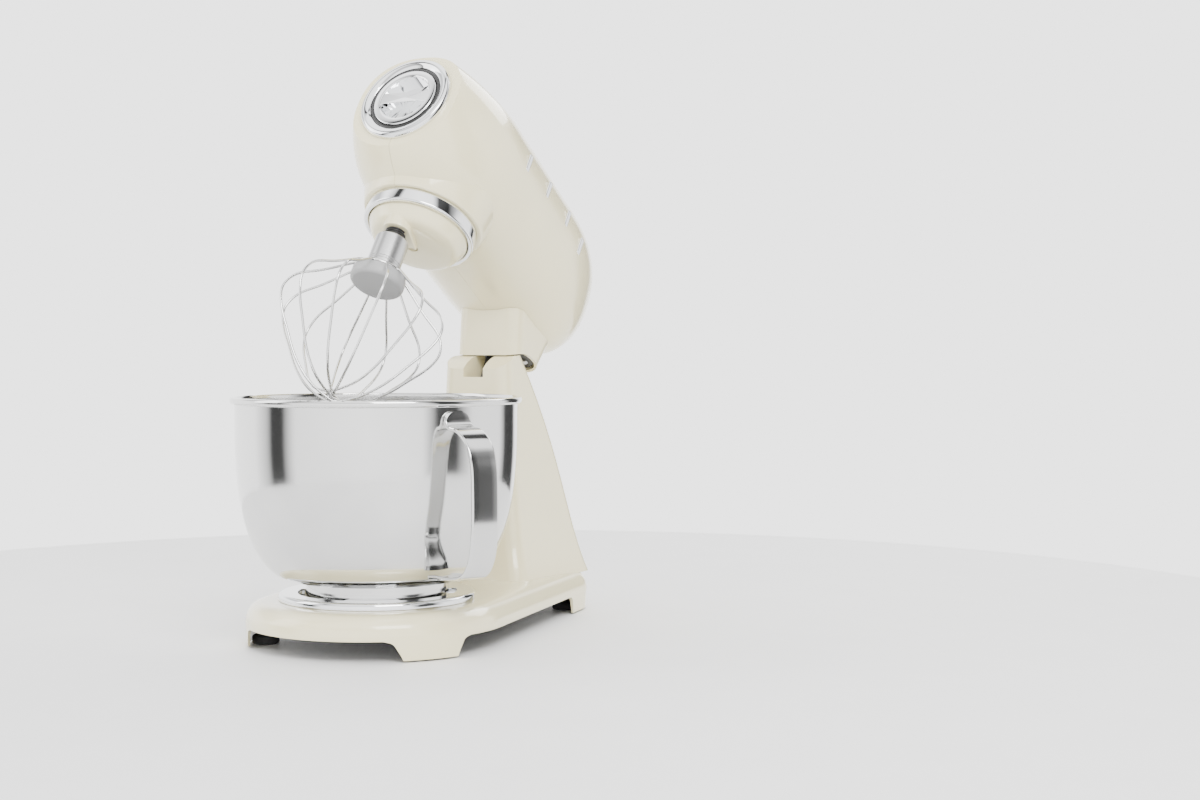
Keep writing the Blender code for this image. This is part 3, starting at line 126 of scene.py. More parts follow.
HEAD_FRONT_Y = -0.078
HEAD_REAR_Y = 0.252
HEAD_HALF = 0.0705
HEAD_TOP_Z = 0.3990
HEAD_MIDDLE_Z = 0.333
HEAD_BOTTOM_Z = 0.2655
HEAD_WALL = 0.003
CAP_Z = 0.339
BEZEL_RADIUS = 0.0430
CAP_RADIUS = 0.0300
FACE_Y = HEAD_FRONT_Y - GAP
HUB_RADIUS = 0.050
HUB_RING_TOP_Z = 0.2668
HUB_RING_BOTTOM_Z = 0.2537
COVER_RADIUS = HUB_RADIUS - 0.0055
COVER_BOTTOM_Z = 0.2385
COLLAR_HALF = 0.034
COLLAR_FRONT_Y = 0.132
COLLAR_REAR_Y = 0.205
COLLAR_WALL = 0.003
LEVER_Y = 0.020
LEVER_TRAVEL = 0.045
VENT_ROWS = (0.309, 0.326, 0.343)
STUD_PLACES = [(0.025, 0.349), (0.067, 0.352), (0.110, 0.352), (0.143, 0.345)]

SHAFT_Y = -0.028
SHAFT_RADIUS = 0.0048
WHISK_TOP_Z = 0.2255
WHISK_HUB_RADIUS = 0.0145
WHISK_DISC_RADIUS = 0.0235
WHISK_TIP_Z = 0.0605
WHISK_RADIUS = 0.071
WIRE_RADIUS = 0.0011
WIRE_LOOPS = 6
WHISK_HUB_BOTTOM_Z = WHISK_TOP_Z - 0.033
WIRE_PLATE_THICKNESS = 0.0026
WIRE_PLATE_Z = WHISK_HUB_BOTTOM_Z - GAP - WIRE_PLATE_THICKNESS
WHISK_DISC_TOP_Z = WIRE_PLATE_Z - GAP
WHISK_DISC_BOTTOM_Z = WHISK_DISC_TOP_Z - 0.0110
PIN_Z = WHISK_TOP_Z - 0.011

FLOOR_SIDES = 96
CAMERA_SPOT = Vector((0.8767, -1.2774, 0.2522))
CAMERA_DIP = radians(1.758)
CAMERA_TURN = radians(27.484)
LAMP_AIM = Vector((0, 0, 0.25))
LAMPS = [("key", (1.6, -1.5, 1.9), (1.4, 1.0), 60.0), ("fill", (-2.0, -1.2, 1.3), (1.2, 1.6), 26.0),
         ("rim", (0.4, 2.2, 1.8), (1.8, 0.9), 40.0)]
# the room's greys, as (share of the way, grey): round the camera's bearing, then upward
ROOM_TURN = radians(62.5)
ROOM_BANDS = [(0.00, 1.0), (0.20, 1.0), (0.245, 0.45), (0.262, 0.03), (0.295, 0.03), (0.33, 0.85),
              (0.50, 1.0), (0.62, 0.9), (0.655, 0.04), (0.705, 0.04), (0.75, 0.8), (0.845, 0.8),
              (0.872, 0.03), (0.925, 0.03), (0.945, 1.0), (1.00, 1.0)]
SKY_BANDS = [(0.00, 1.0), (0.28, 1.0), (0.42, 0.45), (0.55, 0.40), (0.68, 1.0), (1.00, 1.0)]


def standing_place():
    """Where the drawing's origin, the bowl's axis on the floor, lies in the frame."""
    seat_low, seat_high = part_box("bowl_seat_ring")
    middle = (Vector(seat_low) + Vector(seat_high)) / 2
    return Matrix.Translation((middle.x, middle.y, 0))


BASE_PLACE = standing_place()
HEAD_PLACE = (BASE_PLACE @ Matrix.Translation(HINGE) @ Matrix.Rotation(-HEAD_TILT, 4, "X")
              @ Matrix.Translation(-HINGE))


# ---- finishes
FINISHES = {}
CLOUD_SCALE = 14.0


def add_node(tree, kind, values=None):
    made = tree.nodes.new("ShaderNode" + kind)
    for key, value in (values or {}).items():
        made.inputs[key].default_value = value
    return made


def grey(shade):
    return shade, shade, shade


def finish(name, low, high, roughness, metallic=0.0, grain=400.0, stretch=(1, 1, 1), bump=0.05,
           depth=0.0001, spread=0.05, coat=0.0, coat_roughness=0.03):
    """A material whose colour, roughness and relief vary with a fine grain."""
    if name in FINISHES:
        return FINISHES[name]
    made = bpy.data.materials.new(name)
    made.use_nodes = True
    tree = made.node_tree
    shader = tree.nodes["Principled BSDF"]
    shader.inputs["Metallic"].default_value = metallic
    shader.inputs["Coat Weight"].default_value = coat
    shader.inputs["Coat Roughness"].default_value = coat_roughness
    place = add_node(tree, "TexCoord")
    scale = add_node(tree, "Mapping", {"Scale": stretch})
    noise = add_node(tree, "TexNoise", {"Scale": grain, "Detail": 4.0})
    cloud = add_node(tree, "TexNoise", {"Scale": CLOUD_SCALE})
    ramp = add_node(tree, "ValToRGB")
    for stop, where, shade in zip(ramp.color_ramp.elements, (0.35, 0.65), (low, high)):
        stop.position = where
        stop.color = (*shade, 1.0)
    rough = add_node(tree, "MapRange", {"To Min": max(0.02, roughness - spread),
                                        "To Max": roughness + spread})
    relief = add_node(tree, "Bump", {"Strength": bump, "Distance": depth})
    link = tree.links.new
    link(place.outputs["Object"], scale.inputs["Vector"])
    link(scale.outputs["Vector"], noise.inputs["Vector"])
    link(place.outputs["Object"], cloud.inputs["Vector"])
    link(cloud.outputs["Fac"], ramp.inputs["Fac"])
    link(ramp.outputs["Color"], shader.inputs["Base Color"])
    link(noise.outputs["Fac"], rough.inputs["Value"])
    link(rough.outputs["Result"], shader.inputs["Roughness"])
    link(noise.outputs["Fac"], relief.inputs["Height"])
    link(relief.outputs["Normal"], shader.inputs["Normal"])
    FINISHES[name] = made
    return made


def mixer_finishes():
    """Every finish, by the record's slot name. The enamel's colour comes from the panel."""
    paint = tuple(bpy.context.scene.mixer_looks.enamel)
    worn = tuple(c * 0.97 for c in paint)
    return {
        "cream_enamel": finish("Cream Enamel", worn, paint, 0.22, 0.0, 900, bump=0.02,
                               spread=0.04, coat=0.8, coat_roughness=0.06),
        "chrome": finish("Polished Chrome", (0.80, 0.81, 0.82), (0.86, 0.87, 0.88), 0.06, 1.0, 600,
                         bump=0.01, depth=0.00005, spread=0.03),
        "stainless_steel": finish("Polished Steel", (0.66, 0.66, 0.655), (0.71, 0.71, 0.705), 0.10, 1.0, 90,
                                  stretch=(1, 1, 40), bump=0.008, depth=0.00005, spread=0.03),
        "brushed_steel": finish("Brushed Steel", grey(0.52), grey(0.62), 0.30, 1.0, 120,
                                stretch=(30, 30, 1), bump=0.10, spread=0.10),
        "machined_steel": finish("Machined Steel", (0.42, 0.42, 0.43), (0.55, 0.55, 0.56), 0.32, 1.0, 300,
                                 stretch=(1, 1, 8), bump=0.06, spread=0.08),
        "dark_plastic": finish("Charcoal Plastic", (0.045, 0.045, 0.047), (0.065, 0.065, 0.067), 0.48, 0.0,
                               1500, bump=0.12, spread=0.08),
        "grey_plastic": finish("Grey Plastic", grey(0.34), grey(0.38), 0.42, 0.0, 1200,
                               bump=0.08, spread=0.08),
        "black_plastic": finish("Black Plastic", grey(0.010), grey(0.018), 0.32, 0.0,
                                1500, bump=0.06, spread=0.06),
        "black_rubber": finish("Black Rubber", grey(0.016), grey(0.028), 0.80, 0.0, 1800,
                               bump=0.25, depth=0.0002, spread=0.10),
        "white_nylon": finish("White Nylon", (0.70, 0.69, 0.65), (0.78, 0.77, 0.73), 0.45, 0.0, 1200,
                              bump=0.05, spread=0.06),
        "cast_aluminium": finish("Cast Aluminium", (0.52, 0.52, 0.53), (0.66, 0.66, 0.67), 0.45, 1.0, 700,
                                 bump=0.25, depth=0.0003, spread=0.10),
        "copper_winding": finish("Copper Winding", (0.50, 0.20, 0.08), (0.66, 0.30, 0.13), 0.35, 1.0, 60,
                                 stretch=(1, 1, 30), bump=0.50, depth=0.0005, spread=0.08),
        "circuit_board": finish("Circuit Board", (0.02, 0.12, 0.045), (0.04, 0.20, 0.08), 0.50, 0.0, 300,
                                bump=0.20, depth=0.0002, spread=0.10),
    }


# ---- shapes
def add_object(name, points, faces):
    mesh = bpy.data.meshes.new(name)
    mesh.from_pydata([tuple(point) for point in points], [], faces)
    shape = bmesh.new()
    shape.from_mesh(mesh)
    bmesh.ops.recalc_face_normals(shape, faces=shape.faces)
    shape.to_mesh(mesh)
    shape.free()
    made = bpy.data.objects.new(name, mesh)
    bpy.context.collection.objects.link(made)
    return made


def loft(name, rings):
    """A closed body through rings of equally many points, with flat ends."""
    count = len(rings[0])
    points = [point for ring in rings for point in ring]
    faces = []
    for level in range(len(rings) - 1):
        low, high = level * count, (level + 1) * count
        for i in range(count):
            j = (i + 1) % count
            faces.append((low + i, low + j, high + j, high + i))
    faces.append(tuple(reversed(range(count))))
    faces.append(tuple(range(len(points) - count, len(points))))
    return add_object(name, points, faces)


def prism(name, outline, low, high):
    return loft(name, [[Vector((x, y, z)) for x, y in outline] for z in (low, high)])


def turned(name, profile, sides=96, centre=(0.0, 0.0)):
    """A profile of (radius, z) points turned about the vertical line through centre."""
    points, starts = [], []
    for radius, z in profile:
        starts.append(len(points))
        if radius < 1e-7:
            points.append(Vector((centre[0], centre[1], z)))
            continue
        for i in range(sides):
            turn = tau * i / sides
            points.append(Vector((centre[0] + radius * cos(turn), centre[1] + radius * sin(turn), z)))
    solid = profile[0][0] < 1e-7
    faces = []
    for k in range(len(profile) - 1 if solid else len(profile)):
        m = (k + 1) % len(profile)
        here, there = starts[k], starts[m]
        for i in range(sides):
            j = (i + 1) % sides
            if profile[k][0] < 1e-7:
                faces.append((here, there + j, there + i))
            elif profile[m][0] < 1e-7:
                faces.append((here + i, here + j, there))
            else:
                faces.append((here + i, here + j, there + j, there + i))
    return add_object(name, points, faces)


def cylinder(name, radius, low, high, centre=(0.0, 0.0), sides=96):
    return turned(name, [(0, low), (radius, low), (radius, high), (0, high)], sides, centre)


def block(name, lows, highs):
    (x0, y0, z0), (x1, y1, z1) = lows, highs
    return prism(name, [(x0, y0), (x1, y0), (x1, y1), (x0, y1)], z0, z1)


def wrapped_outline(circles, step=radians(4)):
    """The taut outline round circles (x, y, radius) that are listed counter-clockwise."""
    count = len(circles)
    leaves = []
    for i, (x, y, radius) in enumerate(circles):
        nx, ny, next_radius = circles[(i + 1) % count]
        along = atan2(ny - y, nx - x)
        leaves.append(along - acos((radius - next_radius) / hypot(nx - x, ny - y)))
    outline = []
    for i, (x, y, radius) in enumerate(circles):
        start = leaves[i - 1]
        span = (leaves[i] - start) % tau
        parts = max(1, ceil(span / step - 1e-6))
        for k in range(parts + 1):
            turn = start + span * k / parts
            outline.append((x + radius * cos(turn), y + radius * sin(turn)))
    return outline


def arc(x, y, radius, start, end, parts):
    turns = [radians(start + (end - start) * k / parts) for k in range(parts + 1)]
    return [(x + radius * cos(turn), y + radius * sin(turn)) for turn in turns]


def rounded_box_outline(half, front, rear, corner, step=radians(9)):
    return wrapped_outline([(half - corner, front + corner, corner), (half - corner, rear - corner, corner),
                            (corner - half, rear - corner, corner), (corner - half, front + corner, corner)],
                           step)


def along_x(piece, y, z):
    piece.data.transform(Matrix.Translation((0, y, z)) @ Matrix.Rotation(pi / 2, 4, "Y"))
    return piece


def along_y(piece, x, z):
    piece.data.transform(Matrix.Translation((x, 0, z)) @ Matrix.Rotation(-pi / 2, 4, "X"))
    return piece


def applied(piece):
    """Bakes the piece's modifiers into its mesh."""
    bpy.context.view_layer.update()
    graph = bpy.context.evaluated_depsgraph_get()
    shape = bpy.data.meshes.new_from_object(piece.evaluated_get(graph))
    piece.modifiers.clear()
    piece.data = shape
    return piece


def combine(target, tools, operation="DIFFERENCE"):
    """Applies one Boolean for each tool and removes the tools."""
    for tool in tools:
        step = target.modifiers.new(operation.lower(), "BOOLEAN")
        step.operation = operation
        step.solver = "EXACT"
        step.object = tool
    applied(target)
    for tool in tools:
        bpy.data.objects.remove(tool)
    return target


def wire_along(name, path, radius, sides=12):
    rings = []
    side = None
    for k, point in enumerate(path):
        ahead = path[min(k + 1, len(path) - 1)] - path[max(k - 1, 0)]
        ahead.normalize()
        if side is None:
            side = ahead.orthogonal().normalized()
        side = (side - ahead * side.dot(ahead)).normalized()
        other = ahead.cross(side)
        turns = [tau * i / sides for i in range(sides)]
        rings.append([point + radius * (side * cos(t) + other * sin(t)) for t in turns])
    return loft(name, rings)


def smooth_curve(knots, per_span):
    """A Catmull-Rom curve through knots, which are tuples of equal length."""
    ends = [tuple(2 * a - b for a, b in zip(knots[0], knots[1]))]
    tail = [tuple(2 * a - b for a, b in zip(knots[-1], knots[-2]))]
    points = ends + list(knots) + tail
    curve = []
    for i in range(1, len(points) - 2):
        for k in range(per_span):
            t = k / per_span
            curve.append(tuple(
                0.5 * (2 * b + (c - a) * t + (2 * a - 5 * b + 4 * c - d) * t * t
                       + (3 * b - a - 3 * c + d) * t ** 3)
                for a, b, c, d in zip(*points[i - 1:i + 3])))
    return curve + [knots[-1]]


def soften(piece, width, segments=3, angle=40):
    step = piece.modifiers.new("soft_edges", "BEVEL")
    step.width = width
    step.segments = segments
    step.limit_method = "ANGLE"
    step.angle_limit = radians(angle)
    step.use_clamp_overlap = True
    return applied(piece)


def install(piece, body, slot, place, nodes=(), sharp=38):
    """Shades a finished piece, puts it in its place and lets it ride on its body."""
    for face in piece.data.polygons:
        face.use_smooth = True
    piece.data.set_sharp_from_angle(angle=radians(sharp))
    weights = piece.modifiers.new("even_shading", "WEIGHTED_NORMAL")
    weights.keep_sharp = True
    applied(piece)
    piece.data.transform(place)
    piece.data.materials.clear()
    piece.data.materials.append(mixer_finishes()[slot])
    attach(piece, body)
    if nodes:
        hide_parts(*nodes)
    return piece


# ---- base and column
def base_outline(inset):
    corner_x = BASE_REAR_HALF - BASE_CORNER
    corner_y = BASE_REAR_Y - BASE_CORNER
    return wrapped_outline([(0, 0, BASE_RADIUS - inset), (corner_x, corner_y, BASE_CORNER - inset),
                            (-corner_x, corner_y, BASE_CORNER - inset)], radians(3))


def column_share(z):
    return (COLUMN_TOP_Z - z) / (COLUMN_TOP_Z - BASE_TOP_Z)


def column_half(z):
    return COLUMN_TOP_HALF + 0.012 * column_share(z) + 0.014 * column_share(z) ** 6


def column_rear(z):
    spread = BASE_REAR_Y - 0.004 - COLUMN_TOP_REAR_Y
    return COLUMN_TOP_REAR_Y + spread * (1 - (1 - min(column_share(z), 1)) ** 1.8)


def column_ring(z, inset=0.0):
    front = COLUMN_FRONT_Y - 0.016 * column_share(z) ** 8
    outline = rounded_box_outline(column_half(z) - inset, front + inset, column_rear(z) - inset,
                                  0.014 - inset / 2)
    return [Vector((x, y, z)) for x, y in outline]


def above_ears():
    """What lies over the column's round top."""
    outline = arc(HINGE.y, HINGE.z, EAR_RADIUS, 20, 160, 60)
    low = outline[-1][1]
    outline += [(HINGE.y - 0.1, low), (HINGE.y - 0.1, 0.3), (HINGE.y + 0.1, 0.3), (HINGE.y + 0.1, low)]
    return loft("above_ears", [[Vector((x, y, z)) for y, z in outline] for x in (-0.1, 0.1)])


def arches():
    """Cutters for the skirt's four arches, with curved shoulders."""
    def arch(name, half, middle, reach):
        right = smooth_curve([(0.006, -0.01), (0.004, 0.002), (0.0005, ARCH_Z - 0.006),
                              (-0.002, ARCH_Z - 0.002), (-0.007, ARCH_Z)], 5)
        profile = [(middle + half + x, z) for x, z in right]
        profile += [(middle - half - x, z) for x, z in reversed(right)]
        return prism(name, profile, *reach)
    front = arch("front_arch", 0.073, 0, (0.062, 0.16))
    rear = arch("rear_arch", 0.032, 0, (-0.32, -0.255))
    side = arch("side_arch", 0.121, 0.089, (-0.16, 0.16))
    for piece in (front, rear):
        piece.data.transform(Matrix.Rotation(pi / 2, 4, "X"))
    side.data.transform(Matrix.Rotation(pi / 2, 4, "Z") @ Matrix.Rotation(pi / 2, 4, "X"))
    return [front, rear, side]


def base_levels():
    """The edge of the base: straight skirt, then a round shoulder to the flat top."""
    levels = [(SKIRT_Z, 0.0015), (ARCH_Z + 0.003, 0.0)]
    knots = [(ARCH_Z + 0.003, 0.0), (0.028, 0.0015), (0.034, 0.006), (0.037, 0.013), (BASE_TOP_Z, 0.022)]
    return levels + smooth_curve(knots, 5)[1:]


def make_base():
    housing = loft("mixer_base", [[Vector((x, y, z)) for x, y in base_outline(inset)]
                                  for z, inset in base_levels()])
    heights = [0.035, 0.038, 0.040, 0.042, 0.045, 0.049, 0.054, 0.060, 0.068, 0.078, 0.090, 0.105, 0.12,
               0.14, 0.16, 0.18, 0.20, 0.22, COLUMN_TOP_Z]
    column = loft("column", [column_ring(z) for z in heights])
    combine(column, [above_ears()])
    combine(housing, [column], "UNION")
    below = [(-0.01, 0.0), (0.0245, 0.0), (0.0300, 0.006), (BASE_TOP_Z - 0.0045, 0.014)]
    hollow = loft("hollow", [[Vector((x, y, z)) for x, y in base_outline(0.0035 + inset)]
                             for z, inset in below])
    shaft = loft("shaft", [column_ring(z, COLUMN_WALL) for z in (0.02, 0.05, 0.08, 0.12, POCKET_Z + 0.002)])
    front, wall = COLUMN_FRONT_Y - 0.02, COLUMN_FRONT_Y + 0.005
    rear = HINGE.y + KNUCKLE_RADIUS + 0.0045
    profile = [(front, NOTCH_FRONT_Z), (wall, NOTCH_FRONT_Z), (wall, POCKET_Z), (rear, POCKET_Z),
               (rear, NOTCH_REAR_Z), (rear + 0.030, NOTCH_REAR_Z + 0.040), (rear + 0.030, 0.3), (front, 0.3)]
    notch = loft("notch", [[Vector((x, y, z)) for y, z in profile] for x in (-NOTCH_HALF, NOTCH_HALF)])
    pin_half = column_half(HINGE.z) - 0.003
    pin_hole = cylinder("pin_hole", PIN_RADIUS + GAP, -pin_half, pin_half, sides=32)
    holes = [along_x(pin_hole, HINGE.y, HINGE.z),
             along_y(cylinder("button_hole", BUTTON_RADIUS + GAP, 0.19, 0.26, sides=48), 0, BUTTON_Z),
             along_y(cylinder("inlet_hole", INLET_RADIUS + GAP, BASE_REAR_Y - 0.02, BASE_REAR_Y + 0.02,
                              sides=48), 0, INLET_Z)]
    combine(housing, [hollow, shaft, notch] + holes + arches())
    soften(housing, 0.0009, 3, 50)
    return install(housing, "base", "cream_enamel", BASE_PLACE, ["base_housing"])


def make_feet():
    for name in ("foot_front_left", "foot_front_right", "foot_rear_left", "foot_rear_right"):
        low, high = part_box(name)
        middle = ((low[0] + high[0]) / 2, (low[1] + high[1]) / 2)
        r = FOOT_RADIUS
        profile = [(0, 0.0006), (0.004, 0.0006), (0.0046, 0), (r - 0.002, 0), (r - 0.0008, 0.0004),
                   (r - 0.0002, 0.0012), (r, 0.002), (r, 0.006), (r - 0.0004, 0.0069), (r - 0.0015, 0.0077),
                   (r - 0.0035, 0.008), (r - 0.0035, FOOT_TOP_Z), (0, FOOT_TOP_Z)]
        install(turned("pad_" + name, profile, 64, middle), "base", "black_rubber",
                Matrix.Identity(4), [name])


def make_seat():
    """The chrome ring that the bowl stands in, with its three locking tabs."""
    profile = [(SEAT_INNER, SEAT_Z), (SEAT_RADIUS, SEAT_Z), (SEAT_RADIUS, SEAT_TOP_Z - 0.0028),
               (SEAT_RADIUS - 0.0004, SEAT_TOP_Z - 0.0016), (SEAT_RADIUS - 0.0013, SEAT_TOP_Z - 0.0006),
               (SEAT_RADIUS - 0.0024, SEAT_TOP_Z - 0.0001), (SEAT_RADIUS - 0.004, SEAT_TOP_Z),
               (SEAT_INNER + 0.0008, SEAT_TOP_Z), (SEAT_INNER, SEAT_TOP_Z - 0.0004)]
    seat = turned("locking_ring", profile, 128)
    tabs = []
    for third in range(3):
        turns = [radians(40 + 120 * third + 40 * k / 16) for k in range(17)]
        outline = [((SEAT_INNER + 0.002) * cos(t), (SEAT_INNER + 0.002) * sin(t)) for t in turns]
        outline += [((FOOT_RING_RADIUS + 0.001) * cos(t), (FOOT_RING_RADIUS + 0.001) * sin(t))
                    for t in reversed(turns)]
        tabs.append(prism("tab", outline, SEAT_TOP_Z - 0.0015, SEAT_TOP_Z - 0.0001))
    return install(combine(seat, tabs, "UNION"), "base", "chrome", BASE_PLACE, ["bowl_seat_ring"])


def make_rear_fittings():
    """The cord's bush in the rear of the base, left empty."""
    y, r = BASE_REAR_Y, INLET_RADIUS
    profile = [(0.0036, y - 0.009), (r, y - 0.009), (r, y + GAP), (r + 0.0022, y + GAP),
               (r + 0.0022, y + 0.002), (r + 0.0019, y + 0.0045), (r + 0.0012, y + 0.0065),
               (r + 0.0006, y + 0.007), (0.0042, y + 0.007), (0.0036, y + 0.0064)]
    return install(along_y(turned("cord_bush", profile, 64), 0, INLET_Z), "base", "black_rubber",
                   BASE_PLACE, ["cord_inlet"])


# ---- bowl
def make_bowl():
    deep = BOWL_RIM_Z - BOWL_FLOOR_Z
    r = BOWL_RADIUS
    knots = [(r * 0.60, BOWL_FLOOR_Z + 0.0012), (r * 0.74, BOWL_FLOOR_Z + deep * 0.055),
             (r * 0.87, BOWL_FLOOR_Z + deep * 0.19), (r * 0.955, BOWL_FLOOR_Z + deep * 0.40),
             (r * 0.993, BOWL_FLOOR_Z + deep * 0.66), (r, BOWL_RIM_Z - 0.006)]
    outer = smooth_curve(knots, 8)
    roll = [(r + RIM_ROLL * (1 + sin(t)) - BOWL_WALL / 2 + 0.0004, BOWL_RIM_Z - 0.0028 - 0.0028 * cos(t))
            for t in [radians(a) for a in range(0, 150, 12)]]
    top = [(r - 0.0004, BOWL_RIM_Z), (r - BOWL_WALL * 0.9, BOWL_RIM_Z - 0.0010),
           (r - BOWL_WALL, BOWL_RIM_Z - 0.003)]
    inner = [(radius - BOWL_WALL, z + BOWL_WALL * (1 - radius / r) ** 0.5 + 0.0002)
             for radius, z in reversed(outer[:-1])]
    edge = outer[0][0] - 0.010
    profile = ([(0, BOWL_FLOOR_Z), (edge, BOWL_FLOOR_Z)] + outer + roll + top + inner
               + [(edge, BOWL_FLOOR_Z + BOWL_WALL), (0, BOWL_FLOOR_Z + BOWL_WALL)])
    return install(turned("steel_bowl", profile, 160), "mixing_bowl", "stainless_steel", BASE_PLACE,
                   ["bowl"])


def make_bowl_foot():
    low, high = SEAT_Z + 0.002 + GAP, BOWL_FLOOR_Z - GAP
    r = FOOT_RING_RADIUS
    foot = turned("bowl_foot", [(r - 0.004, low), (r, low), (r, high), (r - 0.004, high)], 128)
    lugs = []
    for third in range(3):
        turns = [radians(8 + 120 * third + 24 * k / 12) for k in range(13)]
        outline = [((r + 0.0055) * cos(t), (r + 0.0055) * sin(t)) for t in turns]
        outline += [((r - 0.001) * cos(t), (r - 0.001) * sin(t)) for t in reversed(turns)]
        lugs.append(prism("lug", outline, low + 0.0001, low + 0.0012))
    return install(combine(foot, lugs, "UNION"), "mixing_bowl", "stainless_steel", BASE_PLACE,
                   ["bowl_foot_ring"])


def handle_knots():
    wall = BOWL_RADIUS + HANDLE_THICKNESS / 2 + 2 * GAP
    out = HANDLE_REACH
    top = BOWL_RIM_Z - 0.0085
    drop = BOWL_RIM_Z - BOWL_FLOOR_Z
    return [(wall, top), (wall, top - drop * 0.055), (wall + out * 0.12, top - drop * 0.088),
            (wall + out * 0.45, top - drop * 0.105), (wall + out * 0.78, top - drop * 0.165),
            (wall + out * 0.96, top - drop * 0.27), (wall + out, top - drop * 0.42),
            (wall + out * 0.99, top - drop * 0.60), (wall + out * 0.90, top - drop * 0.74),
            (wall + out * 0.64, top - drop * 0.83), (wall + out * 0.20, top - drop * 0.860),
            (wall - out * 0.38, top - drop * 0.862), (wall - out * 0.66, top - drop * 0.868)]


def make_handle():
    """A strap with rolled edges and a shallow hollow along its outer face."""
    path = smooth_curve(handle_knots(), 9)
    out = Vector((sin(HANDLE_AZIMUTH), -cos(HANDLE_AZIMUTH), 0))
    across = Vector((cos(HANDLE_AZIMUTH), sin(HANDLE_AZIMUTH), 0))
    up = Vector((0, 0, 1))
    half, thick = HANDLE_WIDTH / 2, HANDLE_THICKNESS / 2
    section = []
    for k in range(13):
        share = -1 + 2 * k / 12
        section.append((share * (half - thick), thick * (0.35 + 0.65 * share ** 6)))
    section += [(half - thick + thick * sin(radians(a)), thick * cos(radians(a)))
                for a in (30, 60, 90, 120, 150)]
    section += [(-share * (half - thick), -thick) for share in (-1, -0.5, 0, 0.5, 1)]
    section += [(-half + thick - thick * sin(radians(a)), -thick * cos(radians(a)))
                for a in (30, 60, 90, 120, 150)]
    rings = []
    gone = 0.0
    for k, (radius, z) in enumerate(path):
        before, after = path[max(k - 1, 0)], path[min(k + 1, len(path) - 1)]
        if k:
            gone += hypot(radius - path[k - 1][0], z - path[k - 1][1])
        ahead = (out * (after[0] - before[0]) + up * (after[1] - before[1])).normalized()
        normal = -ahead.cross(across)
        centre = out * radius + up * z
        narrow = sqrt(max(0.04, 1 - (1 - min(1, (gone + 0.0004) / 0.009)) ** 2))
        rings.append([centre + across * a * narrow + normal * b for a, b in section])
    handle = loft("bowl_strap_handle", rings)
    return install(handle, "mixing_bowl", "stainless_steel", BASE_PLACE, ["bowl_handle"], 50)


# ---- head
def falloff(y, start, end):
    """1 up to start, then an elliptic fall to 0 at end."""
    share = (y - start) / (end - start)
    return 1.0 if share <= 0 else max(0.0, 1 - share ** 2) ** 0.5


def head_ring(y, inset, count):
    front = falloff(y, -0.02, -0.106)
    rear = falloff(y, 0.190, HEAD_REAR_Y + 0.001)
    middle = HEAD_MIDDLE_Z + 0.006 * (1 - front) / 0.26
    half = HEAD_HALF * falloff(y, 0.010, -0.1165) * falloff(y, 0.130, HEAD_REAR_Y + 0.001) - inset
    above = ((HEAD_TOP_Z - HEAD_MIDDLE_Z) * falloff(y, 0.005, -0.117)
             * falloff(y, 0.150, HEAD_REAR_Y + 0.001) - inset)
    below = (HEAD_MIDDLE_Z - HEAD_BOTTOM_Z) * front * rear - inset
    power = 2 / 2.35
    points = []
    for i in range(count):
        x, z = cos(tau * i / count), sin(tau * i / count)
        x = abs(x) ** power * (1 if x > 0 else -1)
        z = abs(z) ** power * (1 if z > 0 else -1)
        points.append(Vector((half * x, y, middle + (above if z > 0 else below) * z)))
    return points


def head_solid(name, inset=0.0, count=112, steps=44):
    """The head's outer form, or its inner form with an inset, with the boss over the hub."""
    length = 0.250 - HEAD_FRONT_Y
    middle = (HEAD_FRONT_Y + 0.250) / 2
    shrink = 1 - 2 * inset / length
    rings = []
    for k in range(steps + 1):
        y = middle - cos(pi * k / steps) * length / 2
        ring_points = head_ring(y, min(inset, 0.003), count)
        place = middle + (y - middle) * shrink
        rings.append([Vector((p.x, place, p.z)) for p in ring_points])
    body = loft(name, rings)
    low = HUB_RING_TOP_Z + GAP + max(inset, 0)
    r = HUB_RADIUS - inset
    side = smooth_curve([(r + 0.0040, low + 0.0012), (r + 0.0052, low + 0.0040), (r + 0.0076, low + 0.012),
                         (r + 0.0100, low + 0.024), (r + 0.0125, 0.312)], 3)
    boss = turned("boss", [(0, low), (r + 0.0032, low)] + side + [(0, 0.312)], count)
    return combine(body, [boss], "UNION")


def make_head():
    """Two castings that meet on the middle line, with a fine seam between them."""
    whole = head_solid("whole_head")
    tools = [head_solid("inside", HEAD_WALL, 56, 24)]
    tools.append(along_y(cylinder("front_hole", BEZEL_RADIUS - 0.0035, -0.1, -0.05), 0, CAP_Z))
    tools.append(cylinder("hub_hole", HUB_RADIUS - 0.004, 0.24, 0.285))
    tools.append(cylinder("hub_seat", HUB_RADIUS + 0.001, 0.25, HUB_RING_TOP_Z + 2 * GAP))
    tools.append(block("neck_hole", (-0.0260, HINGE.y - 0.036, 0.25), (0.0260, HINGE.y + 0.012, 0.30)))
    tools.append(block("lever_slot", (-0.0032, LEVER_Y - 0.006, 0.37),
                       (0.0032, LEVER_Y + LEVER_TRAVEL + 0.006, 0.42)))
    for side in (-1, 1):
        for z in VENT_ROWS:
            ends = sorted((side * 0.014, side * 0.044))
            slot = block("vent", (ends[0], 0.20, z), (ends[1], 0.28, z + 0.0045))
            tools.append(soften(slot, 0.0021, 4, 30))
    combine(whole, tools)
    for side, name, node in ((-1, "head_casting_left", "head_shell_left"),
                             (1, "head_casting_right", "head_shell_right")):
        half = bpy.data.objects.new(name, whole.data.copy())
        bpy.context.collection.objects.link(half)
        cut_half(half.data, side)
        install(half, "head", "cream_enamel", HEAD_PLACE, [node], 34)
    bpy.data.objects.remove(whole)


